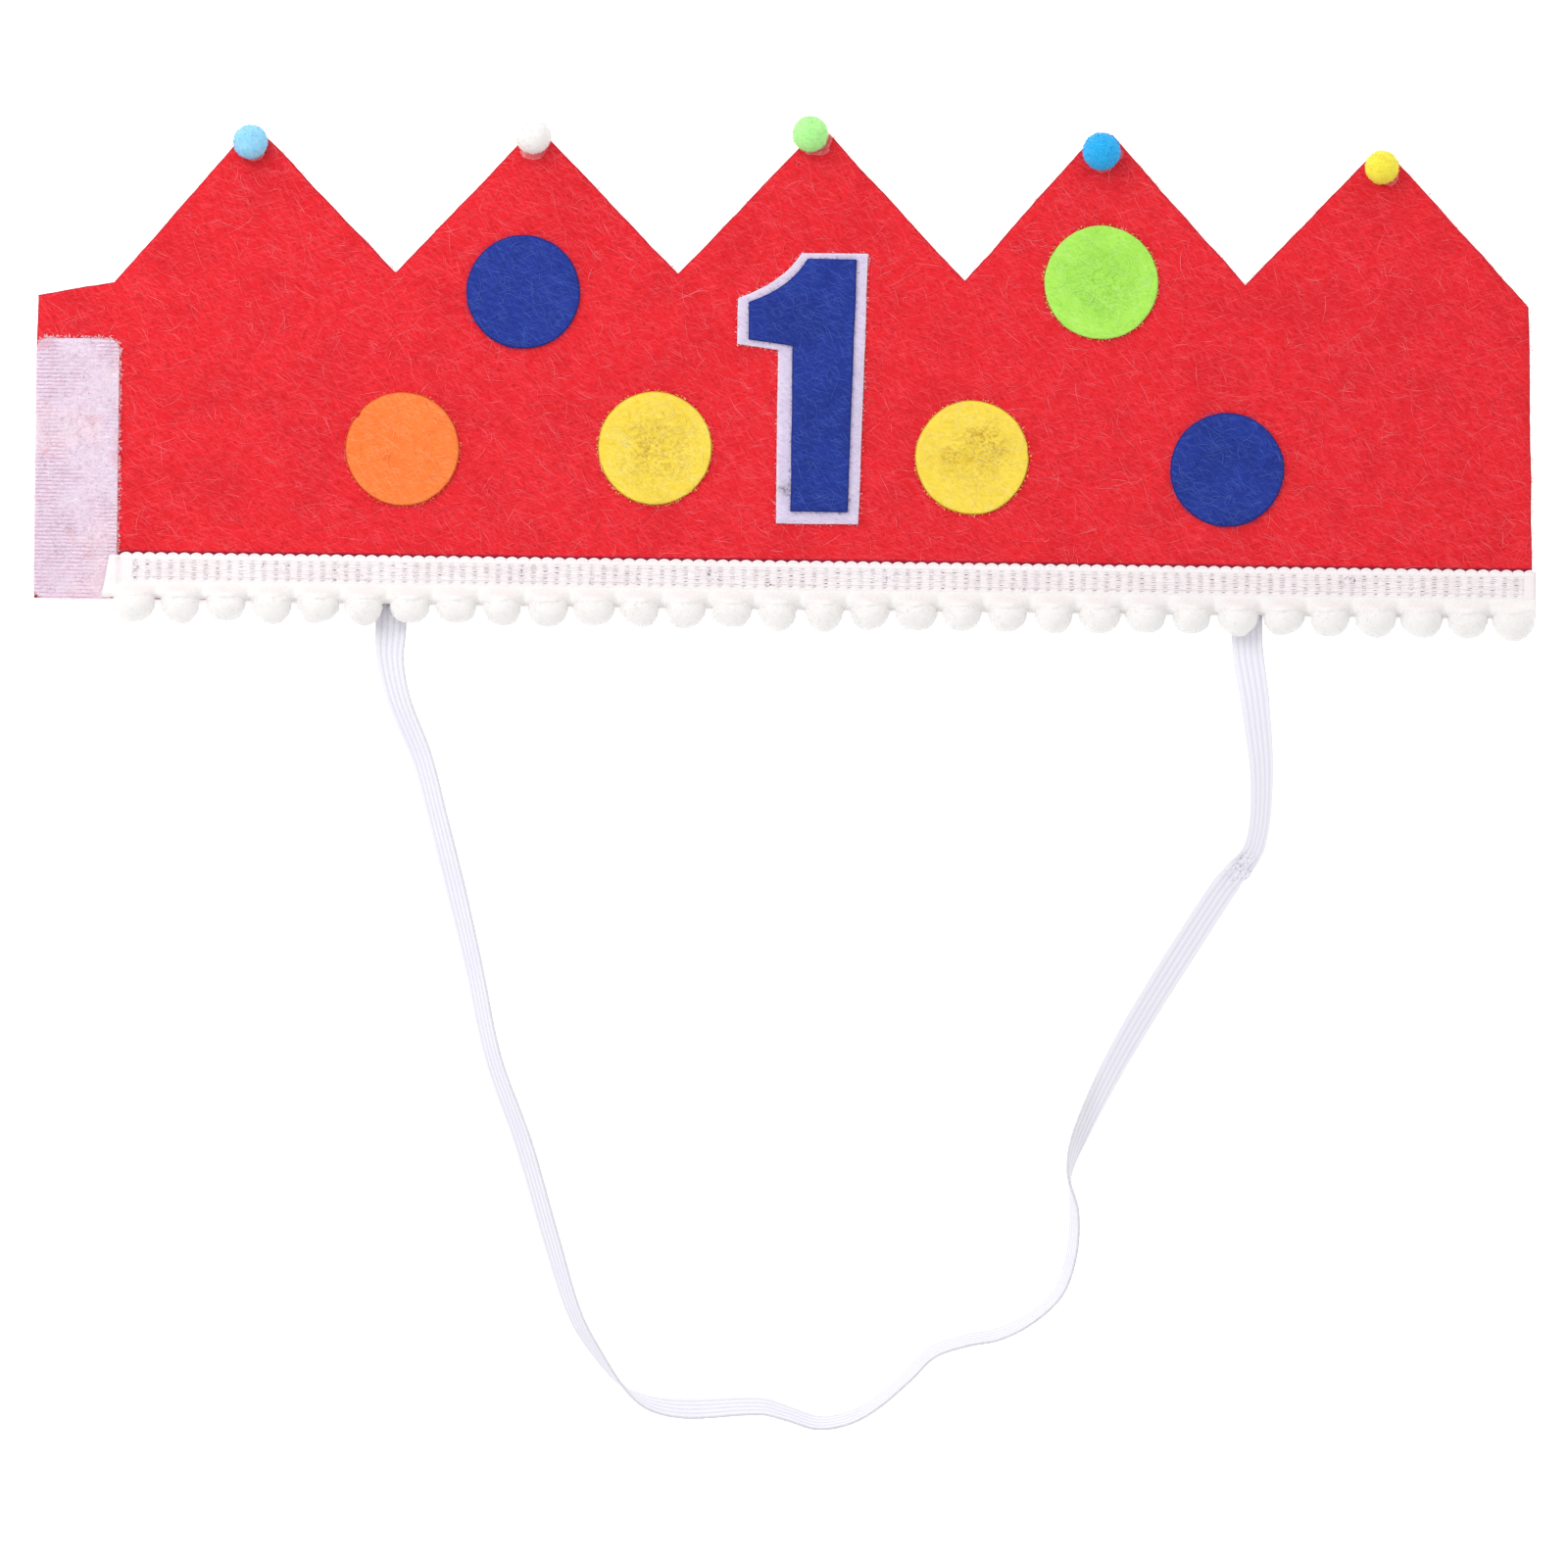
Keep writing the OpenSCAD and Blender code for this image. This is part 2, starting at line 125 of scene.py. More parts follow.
class Material:
    """A node material whose colour and bumps are laid on one over another."""

    def __init__(self, name, base, roughness=0.9, sheen=0.0, share=PAINT, **sockets):
        self.share = share
        self.data = bpy.data.materials.new(name)
        self.data.use_nodes = True
        self.tree = self.data.node_tree
        self.shader = self.tree.nodes["Principled BSDF"]
        put(self.shader, Base_Color=rgb(base, share), Roughness=roughness, Sheen_Weight=sheen)
        put(self.shader, Specular_IOR_Level=SPECULAR, **sockets)
        self.place = self.add("ShaderNodeTexCoord").outputs["Object"]
        self.colour = None

    def add(self, kind, **settings):
        node = self.tree.nodes.new(kind)
        for name, value in settings.items():
            setattr(node, name, value)
        return node

    def link(self, source, target):
        self.tree.links.new(source, target)

    def noise(self, size, detail=3.0, stretch=1.0, angle=0.0, distortion=0.0):
        """Cloudy values with patches about size across, drawn out stretch times along angle."""
        mapping = self.add("ShaderNodeMapping", vector_type="TEXTURE")
        put(mapping, Rotation=(0, 0, angle), Scale=(size * stretch, size, size))
        self.link(self.place, mapping.inputs["Vector"])
        cloud = put(self.add("ShaderNodeTexNoise"), Scale=1.0, Detail=detail, Distortion=distortion)
        self.link(mapping.outputs["Vector"], cloud.inputs["Vector"])
        return cloud.outputs["Fac"]

    def bands(self, pitch, waver):
        """Rows along x, pitch apart, that waver a little."""
        wave = self.add("ShaderNodeTexWave", bands_direction="Y")
        put(wave, Scale=math.pi / 10 / pitch, Distortion=waver, Detail=1)
        self.link(self.place, wave.inputs["Vector"])
        return wave.outputs["Fac"]

    def along(self, axis):
        """How far along the hat's axis, X or Y."""
        parts = self.add("ShaderNodeSeparateXYZ")
        self.link(self.place, parts.inputs["Vector"])
        return parts.outputs[axis]

    def near(self, x, y, radius):
        """1 round a point of the hat, falling to 0 at radius from it."""
        gap = self.add("ShaderNodeVectorMath", operation="DISTANCE")
        flat = self.add("ShaderNodeVectorMath", operation="MULTIPLY")
        flat.inputs[1].default_value = (1, 1, 0)
        self.link(self.place, flat.inputs[0])
        self.link(flat.outputs["Vector"], gap.inputs[0])
        gap.inputs[1].default_value = (x, y, 0)
        return self.ramp(gap.outputs["Value"], radius, radius * SPOT_CORE)

    def ramp(self, value, low, high, peak=1.0):
        """value spread so that low gives 0 and high gives peak."""
        spread = self.add("ShaderNodeMapRange", interpolation_type="SMOOTHSTEP")
        put(spread, From_Min=low, From_Max=high, To_Max=peak)
        self.link(value, spread.inputs["Value"])
        return spread.outputs["Result"]

    def times(self, a, b):
        product = self.add("ShaderNodeMath", operation="MULTIPLY")
        self.link(a, product.inputs[0])
        self.link(b, product.inputs[1])
        return product.outputs["Value"]

    def layer(self, factor, colour):
        """Lays a colour over what is there, as strongly as factor says."""
        mix = self.add("ShaderNodeMix", data_type="RGBA")
        under, over, result = mix.inputs[6], mix.inputs[7], mix.outputs[2]
        self.link(factor, mix.inputs[0])
        over.default_value = rgb(colour, self.share)
        if self.colour is None:
            under.default_value = self.shader.inputs["Base Color"].default_value
        else:
            self.link(self.colour, under)
        self.colour = result
        self.link(result, self.shader.inputs["Base Color"])

    def mottle(self, colour, size, detail, low, high, peak=1.0, **drawn):
        """Lays a colour on in patches about size across."""
        self.layer(self.ramp(self.noise(size, detail, **drawn), low, high, peak), colour)

    def bump(self, height, depth):
        """Raises the surface by up to depth where height is 1."""
        node = put(self.add("ShaderNodeBump"), Distance=depth)
        self.link(height, node.inputs["Height"])
        before = self.shader.inputs["Normal"].links
        if before:
            self.link(before[0].from_socket, node.inputs["Normal"])
        self.link(node.outputs["Normal"], self.shader.inputs["Normal"])


STREAK_ANGLES = [math.radians(a) for a in (-34, -14, 18, -62)]
# What shows in felt: clouds, matted grain, crossing lines of fibre, and bumps
CLOUD, GRAIN, LINE, BUMP = 14 * MM, 0.8 * MM, 0.4 * MM, 0.9 * MM
BUMP_DEPTH = 0.4 * MM


def felt(name, base, shade, fibre, streak=0.35, grain=0.75):
    """Needled felt: mottled, with fine fibres crossing at several angles."""
    made = Material(name, base, roughness=0.95, sheen=0.05)
    made.mottle(shade, CLOUD, 3, 0.44, 0.66, 0.3)
    made.mottle(shade, GRAIN, 4, 0.5, 0.68, grain, stretch=1.6, angle=STREAK_ANGLES[0])
    for angle in STREAK_ANGLES:
        made.mottle(fibre, LINE, 2, 0.56, 0.7, streak, stretch=13, angle=angle, distortion=0.2)
    made.bump(made.noise(BUMP, 4, stretch=2, angle=STREAK_ANGLES[1]), BUMP_DEPTH)
    return made


def painted_edge_shading(name, base, shade):
    """A plain colour for the faces along a felt's cut edge: painted shade on most felts, a painted rim highlight on
    the green and lilac ones.
    """
    made = Material(name, base, roughness=0.95)
    made.mottle(shade, 0.8 * MM, 3, 0.45, 0.65, 0.7)
    made.bump(made.noise(0.5 * MM, 2), 0.2 * MM)
    return made


def fibre(name, base, pale):
    """Single loose fibres, each a little lighter or darker than the next."""
    made = Material(name, base, roughness=0.8, sheen=0.2)
    made.mottle(pale, 4 * MM, 2, 0.4, 0.62)
    return made


def fluff(name, base, shade, pale, sheen=0.1):
    """Pom-pom pile: soft clumps and fine specks."""
    made = Material(name, base, roughness=0.97, sheen=sheen)
    made.mottle(shade, 1.5 * MM, 3, 0.45, 0.7, 0.35)
    made.mottle(pale, 0.35 * MM, 2, 0.52, 0.7, 0.6)
    made.bump(made.noise(0.45 * MM, 3), 0.25 * MM)
    return made


# A stain's clouds, their share of its strength, and the size and heading of its grains
STAIN_CLOUD = 5 * MM
CLOUD_SHARE = 0.45
STAIN_GRAINS = ((0.8 * MM, STREAK_ANGLES[2]), (0.6 * MM, STREAK_ANGLES[0]))


def stained(made, x, y, radius, colour, strength):
    """Adds the mottled mark of glue that has come through thin felt."""
    spot = made.near(x, y, radius)
    made.layer(made.times(spot, made.ramp(made.noise(STAIN_CLOUD, 3), 0.3, 0.7, strength * CLOUD_SHARE)), colour)
    for size, angle in STAIN_GRAINS:
        blot = made.ramp(made.noise(size, 3, stretch=1.8, angle=angle), 0.5, 0.66, strength)
        made.layer(made.times(spot, blot), colour)


# Plane shapes, as rows of x and y

def top_outline(node):
    """The outline of a solid's flat top, counterclockwise."""
    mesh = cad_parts[node].data
    places = [tuple(round(c, 6) for c in v.co) for v in mesh.vertices]
    top = max(p[2] for p in places)
    after = {}
    for face in mesh.polygons:
        ring = [places[i] for i in face.vertices]
        if min(p[2] for p in ring) < top:
            continue
        for a, b in zip(ring, ring[1:] + ring[:1]):
            if a in after.get(b, ()):
                after[b].remove(a)
            else:
                after.setdefault(a, []).append(b)
    loop = [min(a for a in after if after[a])]
    while after[loop[-1]][0] != loop[0]:
        loop.append(after[loop[-1]][0])
    return np.array([p[:2] for p in loop])


def subdivided(outline, step):
    """The outline with points no more than step apart."""
    points = []
    for a, b in zip(outline, np.roll(outline, -1, 0)):
        parts = max(1, math.ceil(np.linalg.norm(b - a) / step))
        points += [a + (b - a) * k / parts for k in range(parts)]
    return np.array(points)


def inset(outline, distance):
    """The outline moved inwards, with mitred corners."""
    along = np.roll(outline, -1, 0) - outline
    along /= np.linalg.norm(along, axis=1)[:, None]
    after = np.stack([-along[:, 1], along[:, 0]], 1)
    before = np.roll(after, 1, 0)
    return outline + np.asarray(distance)[..., None] * (after + before) / (1 + (after * before).sum(1))[:, None]


# A cut outline has points this far apart, wavers over these lengths, and slips of the scissors this wide
RIM_STEP = 1.2 * MM
WAVER_LONG, WAVER_SHORT = 17 * MM, 4 * MM
NICK_W = 0.9 * MM


def hand_cut(outline, seed, waver, nicks=()):
    """The outline with the waver of scissors. nicks are x, y and depth of the places cut too deep."""
    rim = subdivided(outline, RIM_STEP)
    depth = waver * (1 + ripple(rim, WAVER_LONG, seed)) + 0.4 * waver * ripple(rim, WAVER_SHORT, seed + 1)
    for x, y, deep in nicks:
        depth += deep * np.exp(-(((rim - (x, y)) ** 2).sum(1)) / NICK_W ** 2)
    return inset(rim, depth)


def edge_gap(points, outline):
    """Distance of each point to the outline."""
    nearest = np.full(len(points), np.inf)
    for a, b in zip(outline, np.roll(outline, -1, 0)):
        share = np.clip((points - a) @ (b - a) / ((b - a) @ (b - a)), 0, 1)
        nearest = np.minimum(nearest, np.linalg.norm(points - a - share[:, None] * (b - a), axis=1))
    return nearest


def inside(points, outline):
    """True for each point within the outline."""
    crossings = np.zeros(len(points), int)
    for a, b in zip(outline, np.roll(outline, -1, 0)):
        if a[1] != b[1]:
            spans = (a[1] > points[:, 1]) != (b[1] > points[:, 1])
            crossings += spans & (points[:, 0] < a[0] + (points[:, 1] - a[1]) * (b[0] - a[0]) / (b[1] - a[1]))
    return crossings % 2 == 1


def ripple(points, size, seed, waves=14):
    """Smooth random heights from about -1 to 1, with bumps about size across, in the plane or in space."""
    rng = np.random.default_rng(seed)
    ways = rng.normal(size=(points.shape[-1], waves))
    ways /= np.linalg.norm(ways, axis=0)
    waves_in = points @ ways * (2 * math.pi / size * rng.uniform(0.5, 1.3, waves))
    return np.sin(waves_in + rng.uniform(0, 2 * math.pi, waves)).sum(-1) / math.sqrt(waves)


# The felt isn't quite flat: it rises by up to twice SAG, in waves about SAG_SIZE long. It lies still under the fringe
# and the soft patch, and what is glued on follows it
SAG = 0.22 * MM
SAG_SIZE = 75 * MM
STILL = 12 * MM


def waviness(points):
    """How far the felt stands off its level, at each point."""
    clear = np.clip(np.minimum(points[..., 1] - TAPE_HIGH.y, points[..., 0] - LAP_RIGHT) / STILL, 0, 1)
    return SAG * clear * (1 + np.tanh(ripple(points, SAG_SIZE, seed=1)))


# Pieces

def piece(name, verts, faces, material, slot, *nodes, parts=None):
    """A mesh piece on the hat. parts, where given, holds the material's number for each face."""
    mesh = bpy.data.meshes.new(name)
    mesh.from_pydata(verts.tolist(), [], faces if isinstance(faces, list) else faces.tolist())
    for one in material if isinstance(material, list) else [material]:
        mesh.materials.append(one.data)
    if parts is not None:
        mesh.polygons.foreach_set("material_index", parts)
    mesh.shade_smooth()
    mesh.update()
    made = bpy.data.objects.new(name, mesh)
    bpy.context.scene.collection.objects.link(made)
    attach(made, "root")
    if nodes:
        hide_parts(*nodes)
    return made


ROUNDING = (0.1, 0.35, 0.7)
# Faces this close to a sheet's outline take the painted edge shading
PAINTED_EDGE_WIDTH = 0.3 * MM
# The closest points on a sheet's rim. Its inner points stray, and keep off the edge, by these shares of their pitch
RIM_PITCH = 0.8 * MM
JITTER = 0.25
CLEARANCE = 0.4
ON_RIM = 1e-7
FELT_LUMPS = 5 * MM


def sheet_mesh(outline, bottom, top, pitch, relief, edge, seed):
    """A closed sheet with rounded edges, and which of its faces are at the cut edge.

    relief gives the height of the top's own texture at each point.
    """
    rim = subdivided(outline, max(min(pitch), RIM_PITCH))
    loops = [rim] + [inset(rim, edge * share) for share in ROUNDING]
    low, high = outline.min(0), outline.max(0)
    grid = np.stack(np.meshgrid(np.arange(low[0], high[0], pitch[0]), np.arange(low[1], high[1], pitch[1])), -1)
    grid = grid.reshape(-1, 2)
    grid = grid + np.random.default_rng(seed).uniform(-JITTER, JITTER, grid.shape) * pitch
    grid = grid[inside(grid, outline) & (edge_gap(grid, outline) > edge + CLEARANCE * min(pitch))]
    rings, start = [], 0
    for loop in loops:
        count = len(loop)
        rings += [(start + k, start + (k + 1) % count) for k in range(count)]
        start += count
    flat = np.concatenate(loops + [grid]) / MM
    places, _, faces, *_ = delaunay_2d_cdt([Vector(p) for p in flat], rings, [], 1, 1e-6)
    places = np.array([tuple(p) for p in places]) * MM
    gap = edge_gap(places, outline)
    swell = np.sqrt(1 - (1 - np.clip(gap / edge, 0, 1)) ** 2)
    middle, half = (bottom + top) / 2, (top - bottom) / 2
    lift = waviness(places)
    upper = np.column_stack([places, middle + lift + swell * (half + relief(places))])
    lower = np.column_stack([places, middle + lift - swell * half])
    faces = np.array(faces)
    rim_point = gap < ON_RIM
    under = np.where(rim_point, np.arange(len(places)), len(places) + np.cumsum(~rim_point) - 1)
    cut = gap[faces].mean(1) < PAINTED_EDGE_WIDTH
    return np.concatenate([upper, lower[~rim_point]]), np.concatenate([faces, under[faces][:, ::-1]]), np.tile(cut, 2)


def felt_relief(size, depth, seed):
    """Matted bumps of a felt's surface."""
    return lambda points: depth * (ripple(points, size, seed) + 0.6 * ripple(points, size / 2.7, seed + 1)) / 1.6


def felt_sheet(
    name, node, material, slot, pitch=2 * MM, depth=0.07 * MM, seed=1, edge=0.5 * MM, waver=0.1 * MM, nicks=(),
):
    """One cut piece of felt in the place of its solid."""
    outline = hand_cut(top_outline(node), seed, waver, nicks)
    low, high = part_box(node)
    verts, faces, cut = sheet_mesh(
        outline, low.z, high.z, (pitch, pitch), felt_relief(FELT_LUMPS, depth, seed), edge, seed
    )
    made = piece(name, verts, faces, material, slot, node, parts=cut.astype(int))
    return made


STRAND_STEPS = 9
# Fuzz starts within SCATTER mm of the edge and fans out by about FAN. A strand strays by WANDER of its curl at each
# step, thins out over TAPER of its length, and lies PROUD of what it is on
EDGE_STEP = 0.4 * MM
SCATTER = 0.2
FAN = 0.9
WANDER = 0.45
TAPER = 0.06
PROUD = 0.04 * MM


def strands(
    name, outline, top, material, slot, seed, count, length, width,
    lie=None, curl=0.08, edge=False, lift=0.3 * MM, deep=0.0, above=-1.0,
):
    """Loose fibres: thin ribbons that wander over a piece at height top, or stand out from its edge.

    length and width are the least and the most. lie is the heading that most fibres keep to, and its spread.
    deep is how far below top they may start, and above the least y that they may reach.
    """
    rng = np.random.default_rng(seed)
    reach = rng.uniform(*length, count)
    if edge:
        rim = subdivided(outline, EDGE_STEP)
        at = rng.integers(0, len(rim), count)
        ahead = np.roll(rim, -1, 0)[at] - rim[at]
        start = rim[at] + rng.uniform(-SCATTER, SCATTER, (count, 2)) * MM
        heading = np.arctan2(ahead[:, 1], ahead[:, 0]) - math.pi / 2 + rng.normal(0, FAN, count)
    else:
        start = rng.uniform(outline.min(0), outline.max(0), (count, 2))
        heading = rng.normal(lie[0], lie[1], count) if lie else rng.uniform(0, 2 * math.pi, count)
        heading += math.pi * rng.integers(0, 2, count)
    bend = rng.normal(0, curl, (count, 1)) + np.cumsum(rng.normal(0, curl * WANDER, (count, STRAND_STEPS)), 1)
    angles = heading[:, None] + np.cumsum(bend, 1)
    ways = np.stack([np.cos(angles), np.sin(angles)], -1)
    path = start[:, None] + np.cumsum(ways * (reach / STRAND_STEPS)[:, None, None], 1)
    kept = path[..., 1].min(1) > above
    if not edge:
        kept &= inside(path.reshape(-1, 2), outline).reshape(count, STRAND_STEPS).all(1)
    path, ways = path[kept], ways[kept]
    total = len(path)
    share = np.linspace(0, 1, STRAND_STEPS)
    taper = np.sqrt(np.sin(np.clip(share, TAPER, 1 - TAPER) * math.pi))
    half = rng.uniform(*width, total)[:, None] / 2 * taper
    side = np.stack([-ways[..., 1], ways[..., 0]], -1) * half[..., None]
    start = top - deep * rng.uniform(0, 1, (total, 1)) + PROUD
    rise = start + waviness(path) + lift * rng.uniform(0.1, 1, total)[:, None] * np.sin(share * math.pi)
    lean = half * rng.uniform(-1, 1, total)[:, None]
    left = np.concatenate([path + side, (rise + lean)[..., None]], -1)
    right = np.concatenate([path - side, (rise - lean)[..., None]], -1)
    verts = np.stack([left, right], 2).reshape(-1, 3)
    first = 2 * (np.arange(total)[:, None] * STRAND_STEPS + np.arange(STRAND_STEPS - 1)).ravel()
    faces = np.stack([first, first + 1, first + 3, first + 2], 1)
    return piece(name, verts, faces, material, slot)


# Chin strap, made first: the route repeats the points of the source, turned to show a little more of its face where
# it stands on edge

# x from the middle of the crown, y from the band's lower edge, roll in degrees, and 1 where the band holds it
STRAP = [
    (-0.1124, 0.0199, 0, 1), (-0.1124, -0.0071, 0, 1), (-0.1124, -0.0161, 32, 0), (-0.1096, -0.0281, 42, 0),
    (-0.103, -0.0441, 47, 0), (-0.0985, -0.0601, 50, 0), (-0.093, -0.0811, 48, 0), (-0.0875, -0.1031, 54, 0),
    (-0.0815, -0.1296, 56, 0), (-0.0725, -0.1541, 53, 0), (-0.064, -0.1821, 55, 0), (-0.057, -0.2031, 61, 0),
    (-0.05, -0.2146, 70, 0), (-0.043, -0.2231, 85, 0), (-0.0355, -0.2276, 115, 0), (-0.025, -0.2291, 128, 0),
    (-0.004, -0.2281, 122, 0), (0.004, -0.2301, 114, 0), (0.0125, -0.2326, 113, 0), (0.0215, -0.2311, 111, 0),
    (0.0295, -0.2266, 107, 0), (0.038, -0.2191, 107, 0), (0.045, -0.2121, 109, 0), (0.0545, -0.2086, 110, 0),
    (0.064, -0.2066, 110, 0), (0.0735, -0.2016, 107, 0), (0.081, -0.1941, 106, 0), (0.0845, -0.1831, 107, 0),
    (0.085, -0.1711, 106, 0), (0.0835, -0.1611, 84, 0), (0.0855, -0.1521, 58, 0), (0.0925, -0.1361, 43, 0),
    (0.1015, -0.1191, 32, 0), (0.116, -0.0951, 27, 0), (0.1275, -0.0771, 30, 0), (0.135, -0.0671, 48, 0),
    (0.137, -0.0486, 42, 0), (0.135, -0.0261, 22, 0), (0.1325, -0.0081, 0, 1), (0.1325, 0.0199, 0, 1),
]
STRAP_W = 8.8 * MM
STRAP_T = 1 * MM
RIBS = 5
GROOVE = 0.13 * MM
STEPS_PER_RIB = 5
# Shares: the rim's thickness, where it starts, and how deep a face lies to count as in a groove
RIM_T, RIM_AT, GROOVE_AT = 0.2, 0.46, 0.75
STRAP_WEFT = 0.03 * MM
ABOVE_TABLE = 0.02 * MM
RING_STEP = 1.1 * MM
ROLL_EASE = 6
# The elastic was creased hard here
CREASE = np.array([0.131, -0.1394])
CREASE_R = 7 * MM
WRINKLE, WRINKLE_SIZE = 0.5 * MM, 3.4 * MM
# Its right run is painted lighter, painted light that makes up for the shade it turns into away from the light, fully
# so from the second x on
RIGHT_RUN_PAINTED_LIGHT = (0.087, 0.094)


def strap_line():
    """Centre, direction across and direction through of each ring along the strap."""
    route = np.array(STRAP)
    xy = route[:, :2] + (0, BAND_EDGE)
    chord = np.linalg.norm(np.diff(xy, axis=0), axis=1)
    last = len(xy) - 1
    heading = [
        (xy[min(i + 1, last)] - xy[max(i - 1, 0)]) / (chord[i - 1] * (i > 0) + (chord[i] if i < last else 0))
        for i in range(last + 1)
    ]
    centre, roll, held = [], [], []
    for i in range(last):
        steps = max(2, round(chord[i] / RING_STEP))
        for t in np.arange(0, 1 if i < last - 1 else 1 + 0.5 / steps, 1 / steps):
            centre.append(
                xy[i] * (2 * t**3 - 3 * t**2 + 1) + xy[i + 1] * (3 * t**2 - 2 * t**3)
                + heading[i] * chord[i] * (t**3 - 2 * t**2 + t) + heading[i + 1] * chord[i] * (t**3 - t**2)
            )
            roll.append(math.radians(route[i, 2] * (1 - t) + route[i + 1, 2] * t))
            held.append(route[i, 3] * (1 - t) + route[i + 1, 3] * t)
    centre, held = np.array(centre), np.array(held)
    window = np.hanning(2 * ROLL_EASE + 3)
    padded = np.pad(roll, ROLL_EASE + 1, mode="edge")
    roll = np.convolve(padded, window / window.sum(), mode="valid") * (held < 1)
    along = np.gradient(centre, axis=0)
    along /= np.linalg.norm(along, axis=1)[:, None]
    left = np.stack([-along[:, 1], along[:, 0]], 1)
    z = STRAP_W / 2 * abs(np.sin(roll)) + STRAP_T / 2 * abs(np.cos(roll)) + held * (FELT_LOW.z - STRAP_T)
    across = np.column_stack([left * np.cos(roll)[:, None], np.sin(roll)])
    through = np.column_stack([-left * np.sin(roll)[:, None], np.cos(roll)])
    return np.column_stack([centre, z]), across, through


def strap_section():
    """Ribbed section from edge to edge over the face and back, and what each side of it is: rim, rib or groove."""
    share = np.linspace(0, 1, RIBS * STEPS_PER_RIB + 1)
    wave = 0.5 - 0.5 * np.cos(2 * math.pi * RIBS * share)
    half = STRAP_T / 2 - GROOVE * (1 - wave)
    half[[0, -1]] = STRAP_T * RIM_T
    x = (share - 0.5) * STRAP_W
    front = np.stack([x, half], 1)
    section = np.concatenate([front[::-1], front * (1, -1)])
    middle = (section + np.roll(section, -1, 0)) / 2
    kind = np.where(abs(middle[:, 0]) > STRAP_W * RIM_AT, 1, 0)
    groove = abs(middle[:, 1]) < STRAP_T / 2 - GROOVE * GROOVE_AT
    return section, np.where((kind == 0) & groove, 2, kind)


def chin_strap():
    base = Material("elastic", "#efeef4", roughness=0.75, sheen=0.1)
    base.mottle("#e6e4ee", 0.5 * MM, 2, 0.45, 0.7, 0.5)
    base.mottle("#e8e6f4", 8 * MM, 2, 0.45, 0.7, 0.4)
    rim = Material("elastic_rim", "#e4e2e9", roughness=0.8)
    rim.mottle("#d2cfda", 0.8 * MM, 2, 0.4, 0.7, 0.6)
    # The grooves between the ribs are painted darker: painted shade in the recesses
    groove = Material("elastic_groove_painted_shade", "#e3e1ed", roughness=0.85)
    groove.mottle("#d6d3e3", 0.6 * MM, 2, 0.4, 0.7, 0.6)
    # Painted light: the right run is made paler to offset the shade it turns into
    for part, pale in ((base, "#f9f8ff"), (rim, "#eeecf8"), (groove, "#eeecfb")):
        part.layer(part.ramp(part.along("X"), *RIGHT_RUN_PAINTED_LIGHT), pale)
    # Dark grey specks round the crease
    for part in (base, groove):
        crease_specks = part.ramp(part.noise(0.7 * MM, 2), 0.56, 0.62, 0.5)
        part.layer(part.times(part.near(*CREASE, CREASE_R), crease_specks), GREY)
    for part in (base, rim, groove):
        part.bump(part.noise(0.45 * MM, 2), 0.12 * MM)
    centre, across, through = strap_line()
    section, kind = strap_section()
    rings, sides = len(centre), len(section)
    verts = centre[:, None] + across[:, None] * section[:, :1] + through[:, None] * section[:, 1:]
    near = np.exp(-((verts[..., :2] - CREASE) ** 2).sum(-1) / CREASE_R**2)
    wrinkle = WRINKLE * near * ripple(verts, WRINKLE_SIZE, seed=5)
    weft = STRAP_WEFT * np.sin(np.arange(rings) * math.pi * 0.9)[:, None] * np.sign(section[:, 1])
    verts += through[:, None] * (wrinkle + weft)[..., None]
    verts[..., 2] = np.maximum(verts[..., 2], ABOVE_TABLE)
    behind = (verts[..., 1] > BAND_EDGE - 1 * MM) & (verts[..., 2] > FELT_LOW.z)
    verts[..., 2][behind] = FELT_LOW.z
    first = np.arange(rings - 1)[:, None] * sides + np.arange(sides)
    after = np.arange(rings - 1)[:, None] * sides + (np.arange(sides) + 1) % sides
    quads = np.stack([first, after, after + sides, first + sides], -1).reshape(-1, 4).tolist()
    caps = [list(range(sides))[::-1], [(rings - 1) * sides + j for j in range(sides)]]
    parts = np.concatenate([np.tile(kind, rings - 1), [1, 1]])
    made = piece(
        "chin_strap_elastic", verts.reshape(-1, 3), quads + caps, [base, rim, groove], "elastic_white", "chin_strap",
        parts=parts,
    )


# Felt band, dots and numeral

# The heading that most fibres of the band keep to, and its spread
LIE = (math.radians(-28), 0.65)
# Its loose fibres: seed, how many, least and most length and width, curl and heading
BAND_FIBRES = {
    "fibres": (11, 9000, (2 * MM, 7 * MM), (0.06 * MM, 0.13 * MM), 0.05, LIE),
    "long": (12, 1900, (3 * MM, 11 * MM), (0.05 * MM, 0.11 * MM), 0.05, LIE),
    "curls": (14, 400, (2 * MM, 5 * MM), (0.06 * MM, 0.12 * MM), 0.35, None),
}
BAND_FUZZ = (13, 1500, (0.3 * MM, 1.2 * MM), (0.05 * MM, 0.12 * MM))


